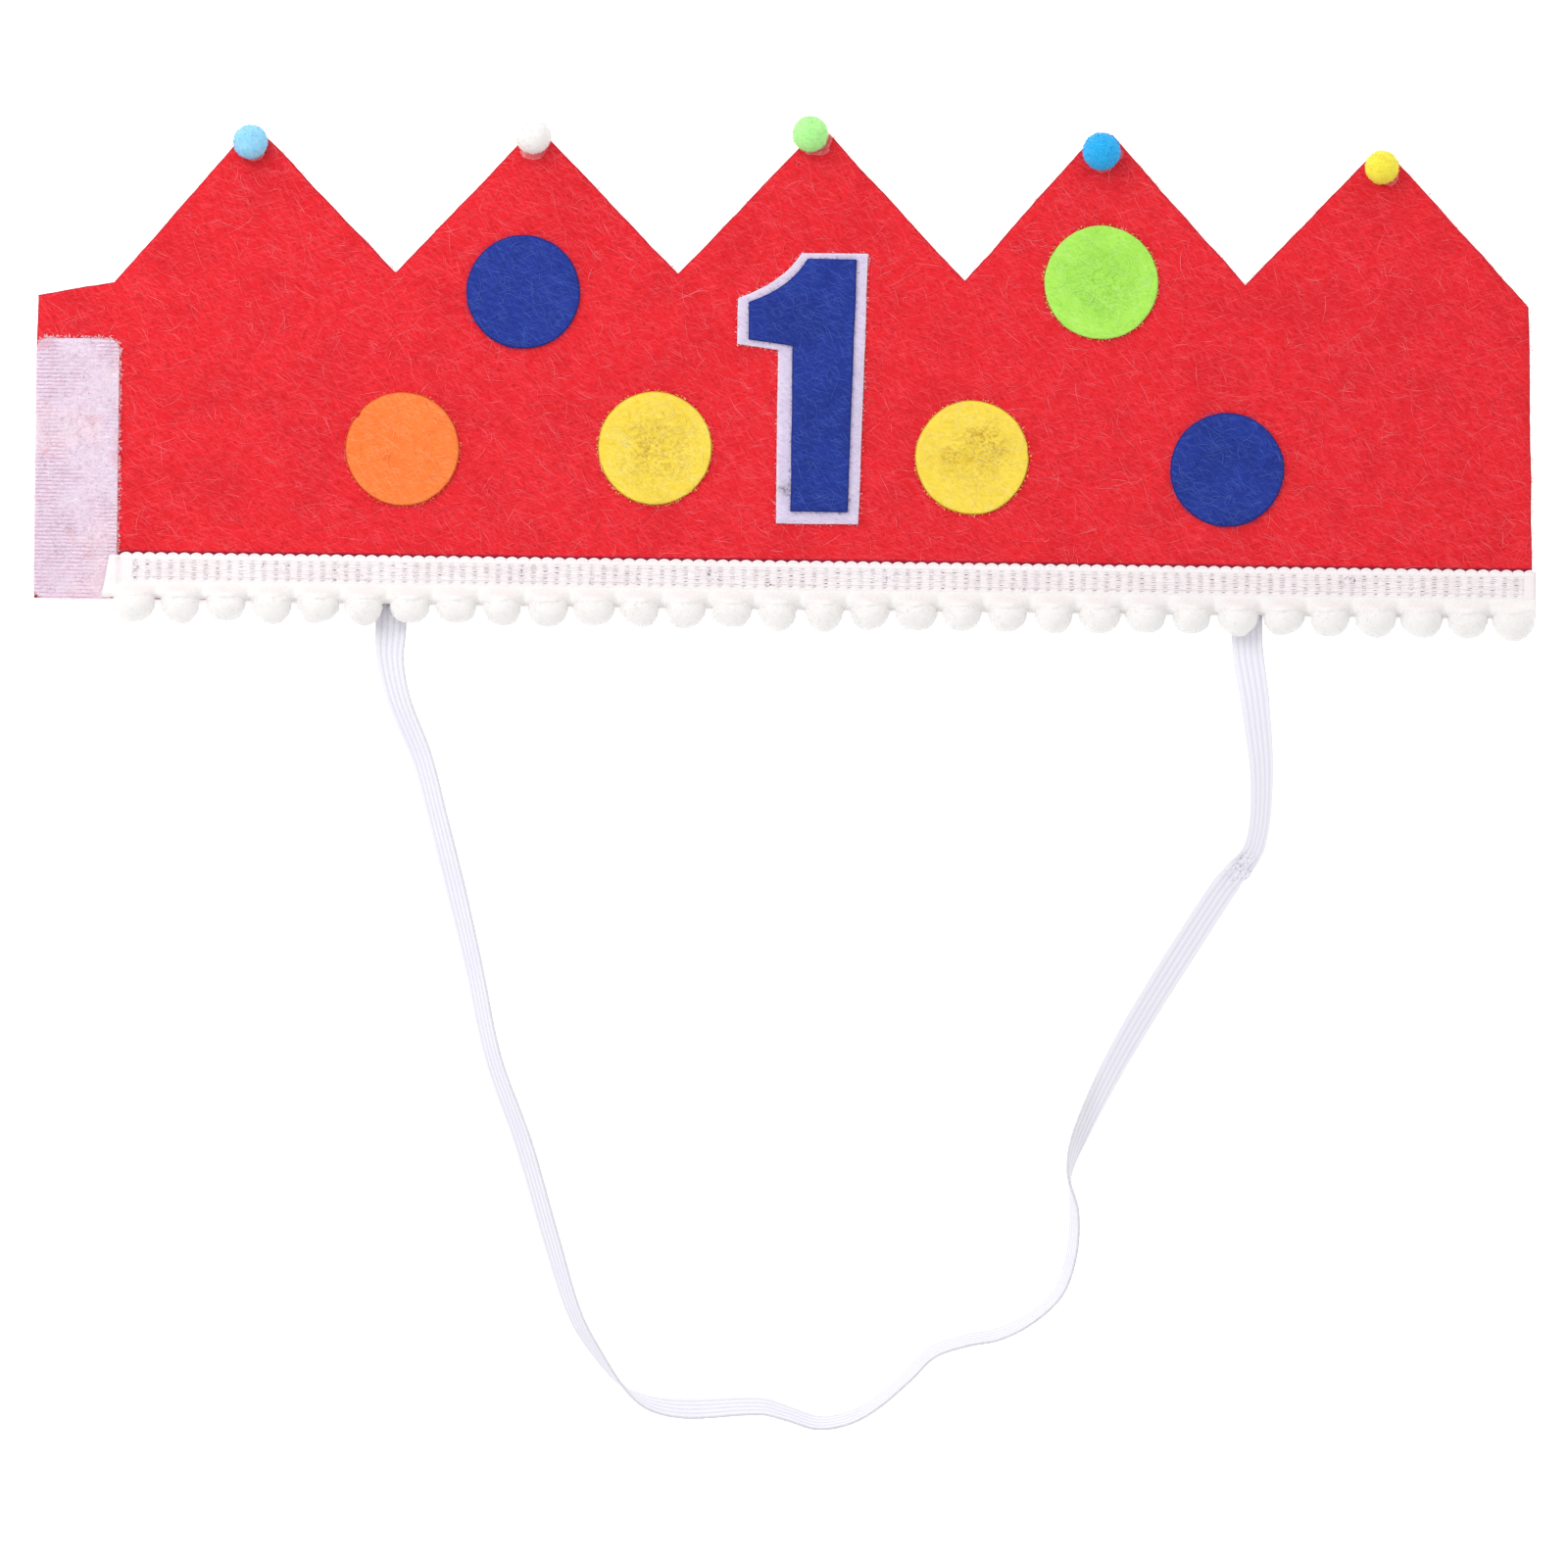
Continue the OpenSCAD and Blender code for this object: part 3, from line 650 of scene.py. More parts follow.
def felt_band():
    outline = top_outline("felt_band")
    # The band's cut edge is painted darker: painted shade along the edge
    materials = [felt("felt_red", RED, RED_SHADE, RED_FIBRE), painted_edge_shading("felt_red_painted_edge_shade", RED_EDGE_SHADE, RED_SHADE)]
    # Painted shadow on the felt just above the tape's upper edge
    tape_shadow_mask = materials[0].ramp(materials[0].along("Y"), *[TAPE_HIGH.y + up for up in TAPE_SHADOW_REACH], 0.9)
    materials[0].layer(tape_shadow_mask, TAPE_SHADOW)
    felt_sheet("felt_band_red", "felt_band", materials, "felt_red", depth=0.1 * MM)
    hue, pale = fibre("fibre_red", RED_FIBRE, RED), fibre("fibre_pink", RED_PALE, RED_FIBRE)
    top, deep = FELT_TOP, FELT_TOP - FELT_LOW.z
    for kind, (seed, count, length, width, curl, lie) in BAND_FIBRES.items():
        loose = hue if kind == "fibres" else pale
        strands(f"felt_band_{kind}", outline, top, loose, "felt_red", seed, count, length, width, lie, curl=curl)
    strands(
        "felt_band_fuzz", outline, top, hue, "felt_red", *BAND_FUZZ, edge=True, deep=deep, above=BAND_EDGE + 1 * MM
    )


APPLIQUE_PITCH = 1.3 * MM
LOOSE_W = (0.05 * MM, 0.13 * MM)
LOOSE_LENGTH = (2 * MM, 9 * MM)
FUZZ_LENGTH = (0.3 * MM, 0.9 * MM)


def applique(node, slot, seed, nicks=(), stains=(), fibres=150, waver=0.08 * MM):
    """A felt shape on the band. nicks and stains are counted from its middle; a stain has a radius and strength."""
    colours = FELTS[slot]
    low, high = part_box(node)
    middle = (low + high) / 2
    made = felt(f"{node}_felt", *colours[:3], streak=0.3, grain=0.4)
    for x, y, radius, strength, colour in stains:
        stained(made, middle.x + x * MM, middle.y + y * MM, radius * MM, colour, strength)
    nicks = [(middle.x + x * MM, middle.y + y * MM, deep * MM) for x, y, deep in nicks]
    # The faces along the cut edge take the painted edge shading
    both = [made, painted_edge_shading(f"{node}_edge", colours[3], colours[1])]
    felt_sheet(f"{node}_felt", node, both, slot, pitch=APPLIQUE_PITCH, seed=seed, waver=waver, nicks=nicks)
    outline, loose = top_outline(node), fibre(f"{node}_fibre", colours[2], colours[0])
    strands(f"{node}_fibres", outline, high.z, loose, slot, seed, fibres, LOOSE_LENGTH, LOOSE_W, curl=0.15)
    strands(
        f"{node}_fuzz", outline, high.z, loose, slot, seed + 1, fibres, FUZZ_LENGTH, LOOSE_W,
        edge=True, deep=high.z - low.z,
    )


NUMERAL = {"fibres": 220, "waver": 0.04 * MM}
# The shapes on the band: felt, seed and marks
APPLIQUES = {
    "dot_blue_left": ("felt_blue", 21, {}),
    "dot_orange": ("felt_orange", 31, {"nicks": [(-12.6, 9.4, 0.9)]}),
    "dot_yellow_left": ("felt_yellow", 41, {"stains": [(1, 0, 16.5, 0.36, STAIN), (-1.5, 0, 5, 0.42, STAIN)]}),
    "dot_yellow_right": ("felt_yellow", 51, {
        "nicks": [(-6.9, -13.1, 0.5)],
        "stains": [(1, 0, 16, 0.22, STAIN), (3.5, 3.5, 9, 0.38, STAIN), (-6.5, 0, 4, 0.4, STAIN)],
    }),
    "dot_green": ("felt_green", 61, {"stains": [(1, -1, 13, 0.35, GREEN_STAIN)]}),
    "dot_blue_right": ("felt_blue", 71, {}),
    "numeral_backing": ("felt_lilac", 81, {"stains": [(-4.3, -28.8, 3.2, 0.9, GREY)], **NUMERAL}),
    "numeral_front": ("felt_blue", 91, NUMERAL),
}


# Closure patches

ROW_PITCH = 1.1 * MM
ROW_DEPTH = 0.14 * MM
KNIT_PITCH = (0.9 * MM, 0.27 * MM)
KNIT_EDGE = 0.35 * MM
# Loose strands on the knit and at its edge: seed, how many, least and most length and width
PILE = (7, 3200, (1 * MM, 3 * MM), (0.05 * MM, 0.12 * MM))
PILE_EDGE = (8, 900, (0.5 * MM, 1.6 * MM), (0.05 * MM, 0.12 * MM))


def loop_patch():
    """The soft half of the closure: a brushed knit in fine rows."""
    low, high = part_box("loop_patch")
    outline = top_outline("loop_patch")
    knit = Material("loop_knit", LOOP, roughness=0.95, sheen=0.3)
    knit.mottle(LOOP_LILAC, 22 * MM, 2, 0.45, 0.6, 0.5)
    knit.mottle(LOOP_RED, 7 * MM, 4, 0.54, 0.72, 0.45)
    where = knit.ramp(knit.noise(12 * MM, 2), 0.35, 0.6)
    knit.layer(knit.times(where, knit.ramp(knit.bands(ROW_PITCH, 1.5), 0.5, 0.95, 0.85)), LOOP_SHADE)
    knit.mottle(LOOP_PALE, 0.5 * MM, 3, 0.54, 0.7, 0.6, stretch=3)
    knit.bump(knit.noise(0.5 * MM, 3, stretch=2), 0.3 * MM)

    def rows(points):
        wobble = 0.25 * ripple(points, 5 * MM, 3)
        row = np.cos(2 * math.pi * (points[:, 1] / ROW_PITCH + wobble))
        return ROW_DEPTH * row * (0.7 + 0.3 * ripple(points, 1.5 * MM, 4)) - ROW_DEPTH

    verts, faces, _ = sheet_mesh(outline, low.z, high.z, KNIT_PITCH, rows, KNIT_EDGE, 6)
    made = piece("loop_patch_knit", verts, faces, knit, "loop_fabric", "loop_patch")
    loose = fibre("loop_fibre", LOOP_PALE, LOOP)
    strands("loop_patch_pile", outline, high.z, loose, "loop_fabric", *PILE, curl=0.8)
    strands(
        "loop_patch_fuzz", outline, high.z, loose, "loop_fabric", *PILE_EDGE, curl=0.3, edge=True, deep=high.z - low.z
    )


HOOK_PITCH = 1.5 * MM
HOOK_PLATE = 0.5 * MM
HOOK_R = 0.07 * MM
PLATE_PITCH = 2 * MM
PLATE_EDGE = 0.2 * MM
PLATE_RELIEF = 0.02 * MM
# One hook, out from the plate and curled: sideways and down
HOOK = np.array([(0, 0), (0, 0.2), (0.04, 0.33), (0.2, 0.4), (0.36, 0.33), (0.4, 0.18)]) * MM


def hook_patch():
    """The stiff half of the closure, behind the right end: a plate with rows of small hooks below it."""
    low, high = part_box("hook_patch")
    outline = top_outline("hook_patch")
    plain = Material("hook_plastic", "#e9e2ea", roughness=0.5)
    plain.mottle(LOOP_SHADE, 1.5 * MM, 2, 0.45, 0.65, 0.4)
    plain.bump(plain.noise(0.6 * MM, 2), 0.1 * MM)
    low_plate = high.z - HOOK_PLATE
    ridges = felt_relief(3 * MM, PLATE_RELIEF, 5)
    verts, faces, _ = sheet_mesh(
        outline, low_plate, high.z - 0.03 * MM, (PLATE_PITCH, PLATE_PITCH), ridges, PLATE_EDGE, 8
    )
    made = piece("hook_patch_plate", verts, faces, plain, "hook_fabric", "hook_patch")
    x, y = (np.arange(a + HOOK_PITCH, b - HOOK_PITCH / 2, HOOK_PITCH) for a, b in zip(low.xy, high.xy))
    feet = np.stack(np.meshgrid(x, y), -1).reshape(-1, 2)
    feet = feet[inside(feet, inset(outline, HOOK_PITCH / 2))]
    across, down = HOOK.T
    turned = np.where(np.round(feet[:, 1] / HOOK_PITCH) % 2, 1, -1)
    paths = np.stack(np.broadcast_arrays(
        feet[:, :1] + turned[:, None] * across, feet[:, 1:], low_plate + 0.02 * MM - down + waviness(feet)[:, None]
    ), -1)
    verts, faces = tubes(paths, HOOK_R, sides=4, up=(0, 1, 0))
    hooks = piece("hook_patch_hooks", verts, faces, plain, "hook_fabric")


def tubes(paths, radius, sides=6, up=(0, 0, 1)):
    """Closed threads along paths. up is a direction that no path takes."""
    count, steps = paths.shape[:2]
    along = np.gradient(paths, axis=1)
    side = np.cross(along, up)
    side /= np.linalg.norm(side, axis=-1, keepdims=True)
    over = np.cross(side, along)
    over /= np.linalg.norm(over, axis=-1, keepdims=True)
    turn = np.arange(sides)[:, None] * 2 * math.pi / sides
    verts = paths[:, :, None] + radius * (side[:, :, None] * np.cos(turn) + over[:, :, None] * np.sin(turn))
    number = np.arange(count * steps * sides).reshape(count, steps, sides)
    after = np.roll(number, -1, 2)
    walls = np.stack([number[:, :-1], number[:, 1:], after[:, 1:], after[:, :-1]], -1).reshape(-1, 4)
    caps = [
        end[:, [0, k, k + 1, k + 2]] for k in range(1, sides - 1, 2) for end in (number[:, 0], number[:, -1, ::-1])
    ]
    return verts.reshape(-1, 3), np.concatenate([walls, *caps])


# Pom-poms and the glue under them

def ball(level):
    """Directions and faces of an evenly divided ball."""
    mesh = bmesh.new()
    bmesh.ops.create_icosphere(mesh, subdivisions=level, radius=1)
    dirs = np.array([v.co[:] for v in mesh.verts])
    faces = np.array([[v.index for v in f.verts] for f in mesh.faces])
    mesh.free()
    return dirs / np.linalg.norm(dirs, axis=1)[:, None], faces


# A hair is twice HAIR_W wide, narrows by these shares from root to tip, starts HAIR_ROOT inside the ball and bows
HAIR_W = 0.07 * MM
HAIR_TAPER = (1, 0.9, 0.25)
HAIR_ROOT = 0.2 * MM
HAIR_LEAN = 0.55
HAIR_BOW = 0.3


def pompom(name, node, material, slot, seed, shape, hairs, lumpy, form=lambda ways: ways, seat=None):
    """A ball of cut yarn, lumpy by that share, with hairs = (count, least and most length) that stand out of it.

    form draws the round ball out, and seat moves points off what it rests on.
    """
    rng = np.random.default_rng(seed)
    low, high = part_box(node)
    radius = (high.x - low.x) / 2
    centre = np.array([(low.x + high.x) / 2, low.y + radius, high.z - radius])
    dirs, faces = shape
    count, short, long = hairs
    tips = rng.normal(size=(count, 3))
    tips /= np.linalg.norm(tips, axis=1)[:, None]

    def surface(ways):
        lumps = 0.99 + lumpy * (ripple(ways, 1.1, seed) + 0.6 * ripple(ways, 0.4, seed + 1))
        return centre + form(ways) * radius * lumps[:, None]

    body = surface(dirs)
    root = surface(tips)
    lean = tips + HAIR_LEAN * rng.normal(size=tips.shape)
    lean /= np.linalg.norm(lean, axis=1)[:, None]
    side = np.cross(lean, rng.normal(size=tips.shape))
    side *= (HAIR_W / np.linalg.norm(side, axis=1))[:, None]
    reach = rng.uniform(short, long, (count, 1))
    bow = HAIR_BOW * reach * np.cross(side, lean) / HAIR_W
    points = [root - lean * HAIR_ROOT, root + lean * reach * 0.55 + bow * 0.6, root + lean * reach]
    blades = np.stack([p + s * side for p, w in zip(points, HAIR_TAPER) for s in (-w, w)], 1)
    first = 6 * np.arange(count)[:, None] + len(body)
    quads = np.concatenate([first + (0, 1, 3, 2), first + (2, 3, 5, 4)])
    verts = np.concatenate([body, blades.reshape(-1, 3)])
    if seat:
        verts = seat(verts)
    return piece(name, verts, faces.tolist() + quads.tolist(), material, slot, node)


# Each tip's colours, and where its glue shows beside the ball: heading in degrees, reach in mm and spread in degrees
TIPS = [
    ("pompom_light_blue", ("#98dafa", "#74c2ee", "#c4eeff"), [(-70, 5.4, 55)]),
    ("pompom_white", ("#fdfaf8", "#f1ebe6", "#ffffff"), [(-95, 6.6, 62)]),
    ("pompom_green", ("#b8fe9c", "#94f07e", "#dcffc6"), [(-12, 6.5, 30), (-80, 5.8, 50)]),
    ("pompom_azure", ("#22b4f6", "#1898dc", "#6ad2ff"), [(-5, 6.5, 25), (-80, 5.9, 50)]),
    ("pompom_yellow", ("#fff040", "#f4d82c", "#fffa9c"), [(-45, 6, 40)]),
]


GLUE_PITCH = 0.7 * MM
GLUE_EDGE = 0.35 * MM
GLUE_LUMPS = 0.05 * MM
# How far out the glue's reach is followed, and in what steps, in mm
GLUE_FAR, GLUE_STEP = 9, 0.1
TIP_HAIRS = (1300, 0.15 * MM, 0.45 * MM)
TIP_LUMPY = 0.012


def glue_dab(node, over, material, reach, seed):
    """Glue on the felt under the ball whose middle is over, run out beside it where reach says so."""
    low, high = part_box(node)
    middle = np.array(((low + high) / 2).xy)
    turn = np.radians(np.arange(0, 360, 4))
    ways = np.stack([np.cos(turn), np.sin(turn)], 1)
    radius = (high.x - low.x) / 2 * (1 + 0.05 * ripple(ways, 1.2, seed))
    for steps in np.arange(0, GLUE_FAR, GLUE_STEP) * MM:
        off = middle + steps * ways - over
        for heading, out, spread in reach:
            gap = np.angle(np.exp(1j * (np.arctan2(off[:, 1], off[:, 0]) - math.radians(heading))))
            covered = np.hypot(*off.T) < out * MM * np.exp(-(gap / math.radians(spread)) ** 4)
            radius = np.where(covered, np.maximum(radius, steps), radius)
    dome = felt_relief(3 * MM, GLUE_LUMPS, seed)
    verts, faces, _ = sheet_mesh(
        middle + radius[:, None] * ways, low.z, high.z, (GLUE_PITCH, GLUE_PITCH), dome, GLUE_EDGE, seed
    )
    piece(f"{node}_dab", verts, faces, material, "glue_clear", node)


def tip_pompoms():
    # The clear glue is painted pale pink, a painted sheen over the red felt, and its paler flecks are painted
    # highlights
    clear = Material("glue", "#ff9299", roughness=0.2, share=1, Alpha=0.26, IOR=1.48)
    clear.mottle("#ffe0e0", 1.2 * MM, 2, 0.5, 0.65, 0.8)
    clear.bump(clear.noise(1.4 * MM, 2), 0.15 * MM)
    shape = ball(4)
    for number, (slot, colours, reach) in enumerate(TIPS, 1):
        node = f"tip_pompom_{number}"
        low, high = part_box(node)
        glue_dab(f"tip_glue_{number}", np.array(((low + high) / 2).xy), clear, reach, 100 + number)
        made = fluff(slot, *colours)
        pompom(
            f"{node}_pile", node, made, slot, 110 + number, shape, TIP_HAIRS, TIP_LUMPY,
            seat=lambda verts: np.column_stack([verts[:, :2], np.maximum(verts[:, 2], low.z)]),
        )


# Ball fringe: the balls, then the tape

BALLS = 31
TAPE_T = 1 * MM
RISER = 1 * MM
STRAP_X = (STRAP[0][0], STRAP[-1][0])


def beside_band(verts):
    """A ball's points moved off the band, the tape and the strap that it rests against, and off the table."""
    x, y, z = verts.T.copy()
    ceiling = FELT_TOP + TAPE_T + np.where(x < LAP_RIGHT + RISER, TAPE_T, 0)
    inwards, under = y - BAND_EDGE, ceiling - z
    within = (inwards > 0) & (under > 0)
    z = np.where(within & (under < inwards), ceiling, z)
    y = np.where(within & (under >= inwards), BAND_EDGE, y)
    for place in STRAP_X:
        z = np.where((abs(x - place) < STRAP_W / 2) & (z < STRAP_T), STRAP_T, z)
    return np.stack([x, y, np.maximum(z, ABOVE_TABLE)], 1)


BALL_X = np.array([sum(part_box(f"trim_pompom_{n:02d}"), Vector()).x / 2 for n in range(1, BALLS + 1)])
BALL_PITCH = BALL_X[1] - BALL_X[0]


def between_balls(x):
    """1 halfway between two balls of the fringe and beyond the last one, 0 at the middle of each."""
    gap = np.abs(x[..., None] - BALL_X).min(-1)
    return np.sin(np.minimum(gap / BALL_PITCH, 0.5) * math.pi) ** 2


# A ball's neck, under the tape, is drawn in and down by these shares
NECK_IN, NECK_DOWN = 0.1, 0.9


def tucked_in(stretch, droop, lean):
    """A fringe ball's form: low where the tape covers it, and more or less pointed and askew at the other end."""
    def form(ways):
        x, y, z = ways.T
        neck, end = np.clip(y, 0, 1) ** 2, np.clip(-y, 0, 1) ** 4
        drawn = np.stack([
            x * (1 - NECK_IN * neck) + lean * end, y * (1 - NECK_IN * neck + droop * end), z - NECK_DOWN * neck**2
        ], 1)
        return drawn * stretch
    return form


# Shares of the round ball: its width, the end balls' width, length and height, and how far its end droops and leans
WIDE, END_WIDE, LONG, TALL = (1, 1.12), 1.14, (0.97, 1.05), (0.82, 0.92)
DROOP, LEAN = 0.12, 0.2
BALL_HAIRS = (420, 0.2 * MM, 0.6 * MM)
BALL_LUMPY = 0.025


def fringe_balls(white):
    rng = np.random.default_rng(7)
    shape = ball(3)
    for number in range(1, BALLS + 1):
        node = f"trim_pompom_{number:02d}"
        wide = END_WIDE if number in (1, BALLS) else rng.uniform(*WIDE)
        stretch = (wide, rng.uniform(*LONG), rng.uniform(*TALL))
        pompom(
            f"{node}_pile", node, white, "trim_white", 200 + 2 * number, shape, BALL_HAIRS, BALL_LUMPY,
            tucked_in(stretch, rng.uniform(-DROOP, DROOP), rng.uniform(-LEAN, LEAN)), beside_band,
        )


# The tape's soft lower part: from FOOTING_TOP up the tape it swells to CROWN over each ball, fully by SWOLLEN. It ends
# at FOOTING_END there and ARCH higher between the balls
FOOTING_TOP = 5.3 * MM
SWOLLEN = 1.5 * MM
FOOTING_END = -1.7 * MM
ARCH = 1.3 * MM
CROWN = 0.92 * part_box("trim_pompom_01")[1].z
FOOTING_ROWS = 15
FOOTING_STEP = 0.6 * MM
FOOTING_LUMPS, LUMP_SIZE = 0.08 * MM, 3 * MM
# Below DIVE_FROM it sinks by DIVE over DIVE_RUN, so that each ball comes out of it, and its end turns down by LIP
DIVE, DIVE_FROM, DIVE_RUN = 1.6 * MM, 0.9 * MM, 1.9 * MM
LIP = 1.2 * MM
# Its gap above what it covers
SEAM = 0.05 * MM
# The felt's edge shows between the first balls, by this much, fading out over this length
EDGE_SHOWN = 0.9 * MM
EDGE_SEEN = 70 * MM


def smooth(share):
    share = np.clip(share, 0, 1)
    return share * share * (3 - 2 * share)


def tape_footing(white):
    """Swells over the balls, and between them closes over the felt's edge."""
    share = np.linspace(0, 1, FOOTING_ROWS)[:, None]
    left = TAPE_LOW.x + SLANT * share * FOOTING_TOP / ROWS[-1]
    x = left + (TAPE_HIGH.x - left) * np.linspace(0, 1, round((TAPE_HIGH.x - TAPE_LOW.x) / FOOTING_STEP))
    apart = between_balls(x)
    end = FOOTING_END + apart * (ARCH + np.interp(x, [LAP_RIGHT, LAP_RIGHT + EDGE_SEEN], [EDGE_SHOWN, 0]))
    up = end + (FOOTING_TOP - end) * share
    level = FELT_TOP + TAPE_T * (1 + np.interp(x, [LAP_RIGHT, LAP_RIGHT + RISER], [1, 0])) + SEAM
    swell = smooth((FOOTING_TOP - up) / (FOOTING_TOP - SWOLLEN)) * (1.03 - apart) ** 0.4
    lumps = FOOTING_LUMPS * swell * ripple(np.stack([x, up], -1), LUMP_SIZE, 23)
    top = level + (CROWN - level) * swell + lumps
    dive = DIVE * smooth((DIVE_FROM - up) / DIVE_RUN) * (1 - apart)
    top -= dive + LIP * np.clip(1 - 6 * share, 0, 1)
    bottom = np.where(up < -SEAM, STRAP_T + SEAM, FELT_TOP + TAPE_T / 2)
    kept = np.ones((FOOTING_ROWS - 1, x.shape[1] - 1), bool)
    return piece("trim_tape_footing", *slab(x, BAND_EDGE + up, kept, bottom, top), white, "trim_white")


PICOTS = 121
PICOT_RISE = 0.9 * MM
PICOT_R = 0.4 * MM
SLIT_ROWS = (6 * MM, 11 * MM)
CORD_ROW = 11.3 * MM
CORD_W = 1 * MM
CORD_RISE = 0.15 * MM
SLANT = 2.1 * MM
# The tape's thickness at its cut ends and its looped edge, as shares
END_FULL, LOOPED_FULL = 0.4, 0.3
WEAVE = 0.03 * MM
# The loops' roundness, their points, and how far down into the edge they start
ROUND = 0.8
ARCH_STEPS = 11
LOOP_FOOT = 0.3 * MM
# Lines across the tape within one step of its ladder: the slit lies between the third and the fourth
LADDER = np.array([0, 0.45, 0.85, 1.37, 1.77, 2.4]) * MM
LADDER_FULL = np.array([1, 0.85, 0, 0, 0.85, 1])
LAP_SHARES = np.array([0, 0.06, 0.25, 0.5, 0.75, 1])
ROWS = np.array([
    0.9, 1.2, 2.4, 3.6, 4.4, 5.2, 6, 6.3, 7.2, 8.5, 9.8, 10.7, 11, 11.3, 11.55, 11.8, 12.05, 12.3, 12.6,
]) * MM
# The cut end has no slits over this width
PLAIN_END = 3.4 * MM
# Height up the tape of the threads across its ladder: a few on it, and the close ones that fill its slits
SURFACE_THREADS = (6.6, 7.8, 8.7, 9.8, 10.7)
THREAD_R = 0.12 * MM
THREAD_STEP = 0.8 * MM
# How far a thread strays up the tape and off it
THREAD_STRAY, THREAD_RISE = 0.09 * MM, 0.05 * MM
WEFT_PITCH = 0.5 * MM
WEFT_R = 0.27 * MM
WEFT_DEPTH = 0.15 * MM


def slab(x, y, kept, bottom, top):
    """A closed sheet over a grid, without the squares that aren't kept."""
    number = np.arange(x.size).reshape(x.shape)
    upper = np.stack([number[:-1, :-1], number[:-1, 1:], number[1:, 1:], number[1:, :-1]], -1)[kept]
    sides = {(int(f[k]), int(f[(k + 1) % 4])) for f in upper for k in range(4)}
    walls = sorted((b, a, a + x.size, b + x.size) for a, b in sides if (b, a) not in sides)
    verts = np.concatenate([np.stack([x, y, z], -1).reshape(-1, 3) for z in (top, bottom)])
    return verts, np.concatenate([upper, upper[:, ::-1] + x.size, walls])


def weave_material(name, base, shade):
    """White cotton threads that run up the tape."""
    made = Material(name, base, roughness=0.85, sheen=0.1, share=TAPE_PAINT)
    made.mottle(shade, 0.5 * MM, 3, 0.48, 0.7, 0.7, stretch=3, angle=math.pi / 2)
    made.mottle(shade, 7 * MM, 2, 0.5, 0.7, 0.4)
    made.bump(made.noise(0.4 * MM, 2, stretch=3, angle=math.pi / 2), 0.15 * MM)
    return made


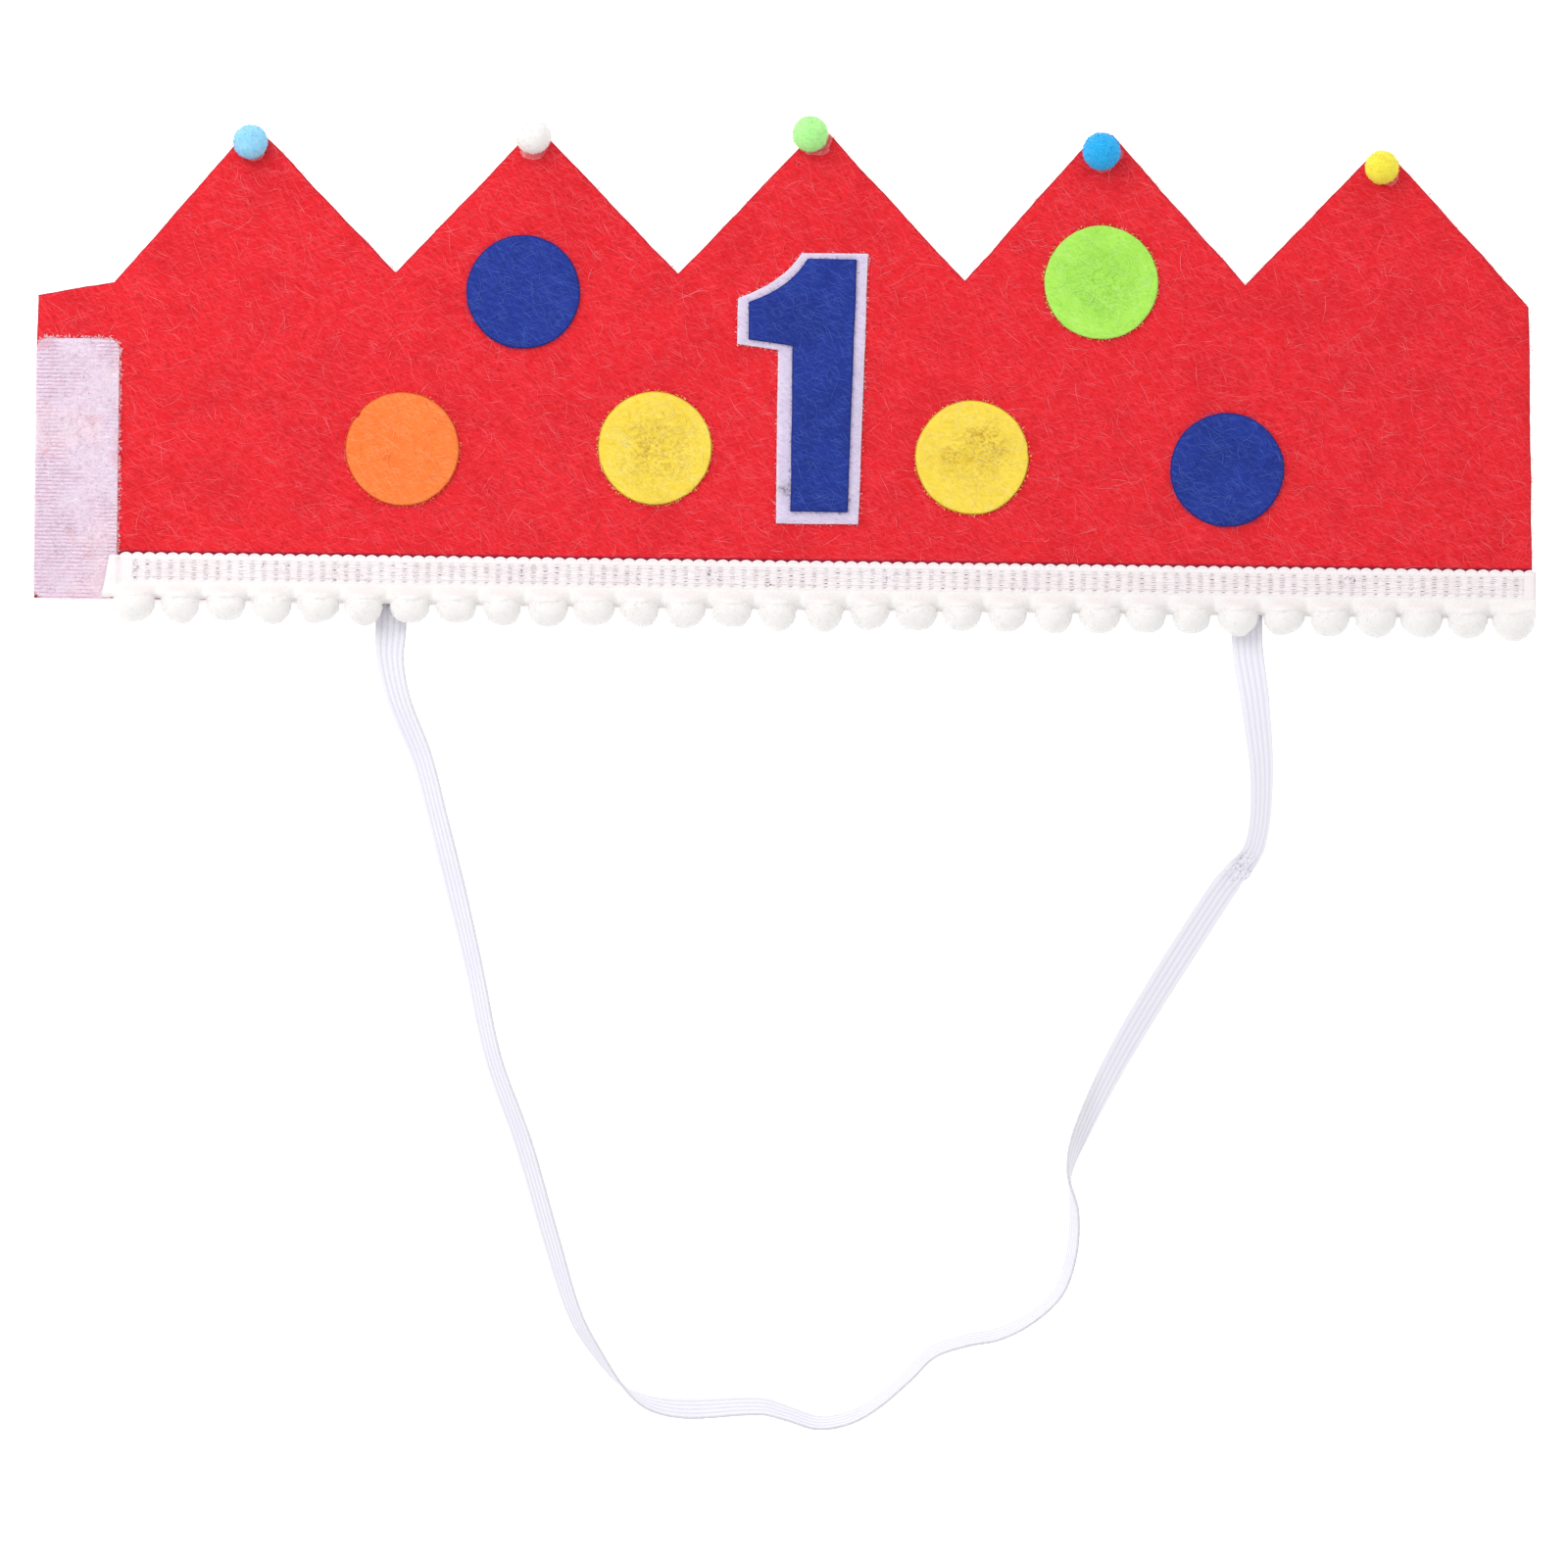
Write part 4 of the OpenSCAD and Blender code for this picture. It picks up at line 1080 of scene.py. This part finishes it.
def trim_tape(yarn):
    start = LAP_RIGHT + RISER
    step = (TAPE_HIGH.x - start) / PICOTS
    left = TAPE_LOW.x + SLANT * ROWS / ROWS[-1]
    lap = left[:, None] + (LAP_RIGHT - left)[:, None] * LAP_SHARES
    ladder = np.append((start + step * np.arange(PICOTS)[:, None] + LADDER).ravel(), TAPE_HIGH.x)
    x = np.hstack([lap, np.broadcast_to(ladder, (len(ROWS), len(ladder)))])
    y = BAND_EDGE + np.broadcast_to(ROWS[:, None], x.shape)
    places = np.stack([x, y], -1)
    slit_row = (ROWS >= SLIT_ROWS[0]) & (ROWS <= SLIT_ROWS[1])
    column = np.concatenate([np.ones(len(LAP_SHARES)), np.tile(LADDER_FULL, PICOTS), [END_FULL]])
    column[0] = END_FULL
    column[len(LAP_SHARES):len(LAP_SHARES) + len(LADDER)] = 1
    column[-len(LADDER) - 1:-1] = 1
    full = np.where(slit_row[:, None], column, np.minimum(column + 1, 1) * np.where(column == END_FULL, END_FULL, 1))
    full = full * np.where(ROWS == ROWS[-1], LOOPED_FULL, 1)[:, None]
    kept = np.ones((len(ROWS) - 1, x.shape[1] - 1), bool)
    for cell in range(1, PICOTS - 1):
        kept[slit_row[:-1] & slit_row[1:], len(LAP_SHARES) + len(LADDER) * cell + 2] = False
    middle = FELT_TOP + TAPE_T * (0.5 + np.interp(x, [LAP_RIGHT, start], [1, 0]))
    cord = CORD_RISE * np.sin(math.pi * np.clip((ROWS - CORD_ROW) / CORD_W, 0, 1))[:, None]
    weave = WEAVE * ripple(places, 1.6 * MM, 9) * (full > 0.9)
    arched = (PICOT_RISE - PICOT_R) * np.abs(np.sin(math.pi * (x - start) / step)) ** ROUND * (x > start)
    y = y + (ROWS == ROWS[-1])[:, None] * arched
    verts, faces = slab(x, y, kept, middle - TAPE_T / 2 * full, middle + TAPE_T / 2 * full + cord + weave)
    along, level = verts[faces].mean(1)[:, :2].T
    level -= BAND_EDGE
    barred = (level > SLIT_ROWS[0]) & (level < SLIT_ROWS[1]) & (along < TAPE_HIGH.x - PLAIN_END)

    share = np.linspace(0, 1, ARCH_STEPS)
    arch = np.stack(np.broadcast_arrays(
        start + step * (np.arange(PICOTS)[:, None] + share),
        BAND_EDGE + ROWS[-1] - LOOP_FOOT + (PICOT_RISE + LOOP_FOOT - PICOT_R) * np.sin(share * math.pi) ** ROUND,
        FELT_TOP + TAPE_T / 2,
    ), -1)
    loops, loop_faces = tubes(arch, PICOT_R)
    white = weave_material("trim_weave", "#f9f2f3", "#f0e7ea")
    bars = weave_material("trim_bars", "#fbf2f4", "#f5ebee")
    tape = piece(
        "trim_tape_weave", np.concatenate([verts, loops]), np.concatenate([faces, loop_faces + len(verts)]),
        [white, bars], "trim_white", "trim_tape", parts=np.append(barred, np.zeros(len(loop_faces))).astype(int),
    )
    along = np.arange(start + step, TAPE_HIGH.x - PLAIN_END, THREAD_STEP)

    def threads(name, rows, z, radius, material):
        paths = []
        for number, row in enumerate(rows):
            flat = np.stack([along, np.full(len(along), row)], 1)
            paths.append(np.column_stack([
                along, BAND_EDGE + row + THREAD_STRAY * ripple(flat, 4 * MM, 30 + number),
                z + THREAD_RISE * ripple(flat, 3 * MM, 60 + number),
            ]))
        return piece(name, *tubes(np.array(paths), radius, sides=4), material, "trim_white")

    weft_rows = np.arange(SLIT_ROWS[0] + WEFT_PITCH / 2, SLIT_ROWS[1], WEFT_PITCH)
    weft = Material("trim_weft", "#faf2f5", roughness=0.9, share=TAPE_PAINT)
    weft.mottle("#efe5e8", 2.2 * MM, 2, 0.45, 0.65, 0.6)
    weft.mottle("#fffafc", 11 * MM, 2, 0.4, 0.6, 0.8)
    # Grey specks on the weft threads: painted shade of the gaps between them in some slits
    specks = weft.times(weft.ramp(weft.noise(9 * MM, 2), 0.56, 0.64), weft.ramp(weft.noise(0.7 * MM, 2), 0.58, 0.66))
    weft.layer(specks, GREY)
    with_pieces = [
        threads("trim_tape_threads", np.array(SURFACE_THREADS) * MM, FELT_TOP + TAPE_T + WEAVE, THREAD_R, white),
        threads("trim_tape_weft", weft_rows, FELT_TOP + TAPE_T - WEFT_DEPTH, WEFT_R, weft),
        tape_footing(yarn),
    ]


# Table and light

TABLE_HALF = 3.0
TABLE_DROP = 0.2 * MM
TABLE_GLOW = 0.45
ROOM_LIGHT = 1.02
SOFTBOX_SIZE, SOFTBOX_POWER = 0.8, 5.5
SOFTBOX_AT, SOFTBOX_AIM = (-0.5, 0.45, 0.8), (0, -0.05, 0)


def add_stage():
    """A white table, an even white room and one large soft light from the upper left."""
    half = TABLE_HALF
    mesh = bpy.data.meshes.new("table")
    mesh.from_pydata([(-half, -half, 0), (half, -half, 0), (half, half, 0), (-half, half, 0)], [], [(0, 1, 2, 3)])
    table = bpy.data.objects.new("table", mesh)
    table.location.z = -TABLE_DROP
    bpy.context.scene.collection.objects.link(table)
    glow = {"Emission_Color": (1, 1, 1, 1), "Emission_Strength": TABLE_GLOW}
    paper = Material("table_paper", "#ffffff", roughness=0.9, share=1, **glow)
    paper.mottle("#fdfdfd", 0.2, 2, 0.4, 0.7, 0.3)
    mesh.materials.append(paper.data)
    world = bpy.data.worlds.new("room")
    world.use_nodes = True
    put(world.node_tree.nodes["Background"], Color=(1, 1, 1, 1), Strength=ROOM_LIGHT)
    bpy.context.scene.world = world
    data = bpy.data.lights.new("softbox", "AREA")
    data.shape, data.size, data.energy = "SQUARE", SOFTBOX_SIZE, SOFTBOX_POWER
    softbox = bpy.data.objects.new("softbox", data)
    bpy.context.scene.collection.objects.link(softbox)
    softbox.location = SOFTBOX_AT
    aim = Vector(SOFTBOX_AIM) - softbox.location
    softbox.rotation_euler = aim.to_track_quat("-Z", "Y").to_euler()
    bpy.context.scene.view_settings.view_transform = "Standard"


add_camera()
chin_strap()
felt_band()
for node, (slot, seed, marks) in APPLIQUES.items():
    applique(node, slot, seed, **marks)
loop_patch()
hook_patch()
tip_pompoms()
trim_yarn = fluff("trim_yarn", "#fbf8f6", "#f3f2ef", "#fffdfc", sheen=0.9)
fringe_balls(trim_yarn)
trim_tape(trim_yarn)
add_stage()
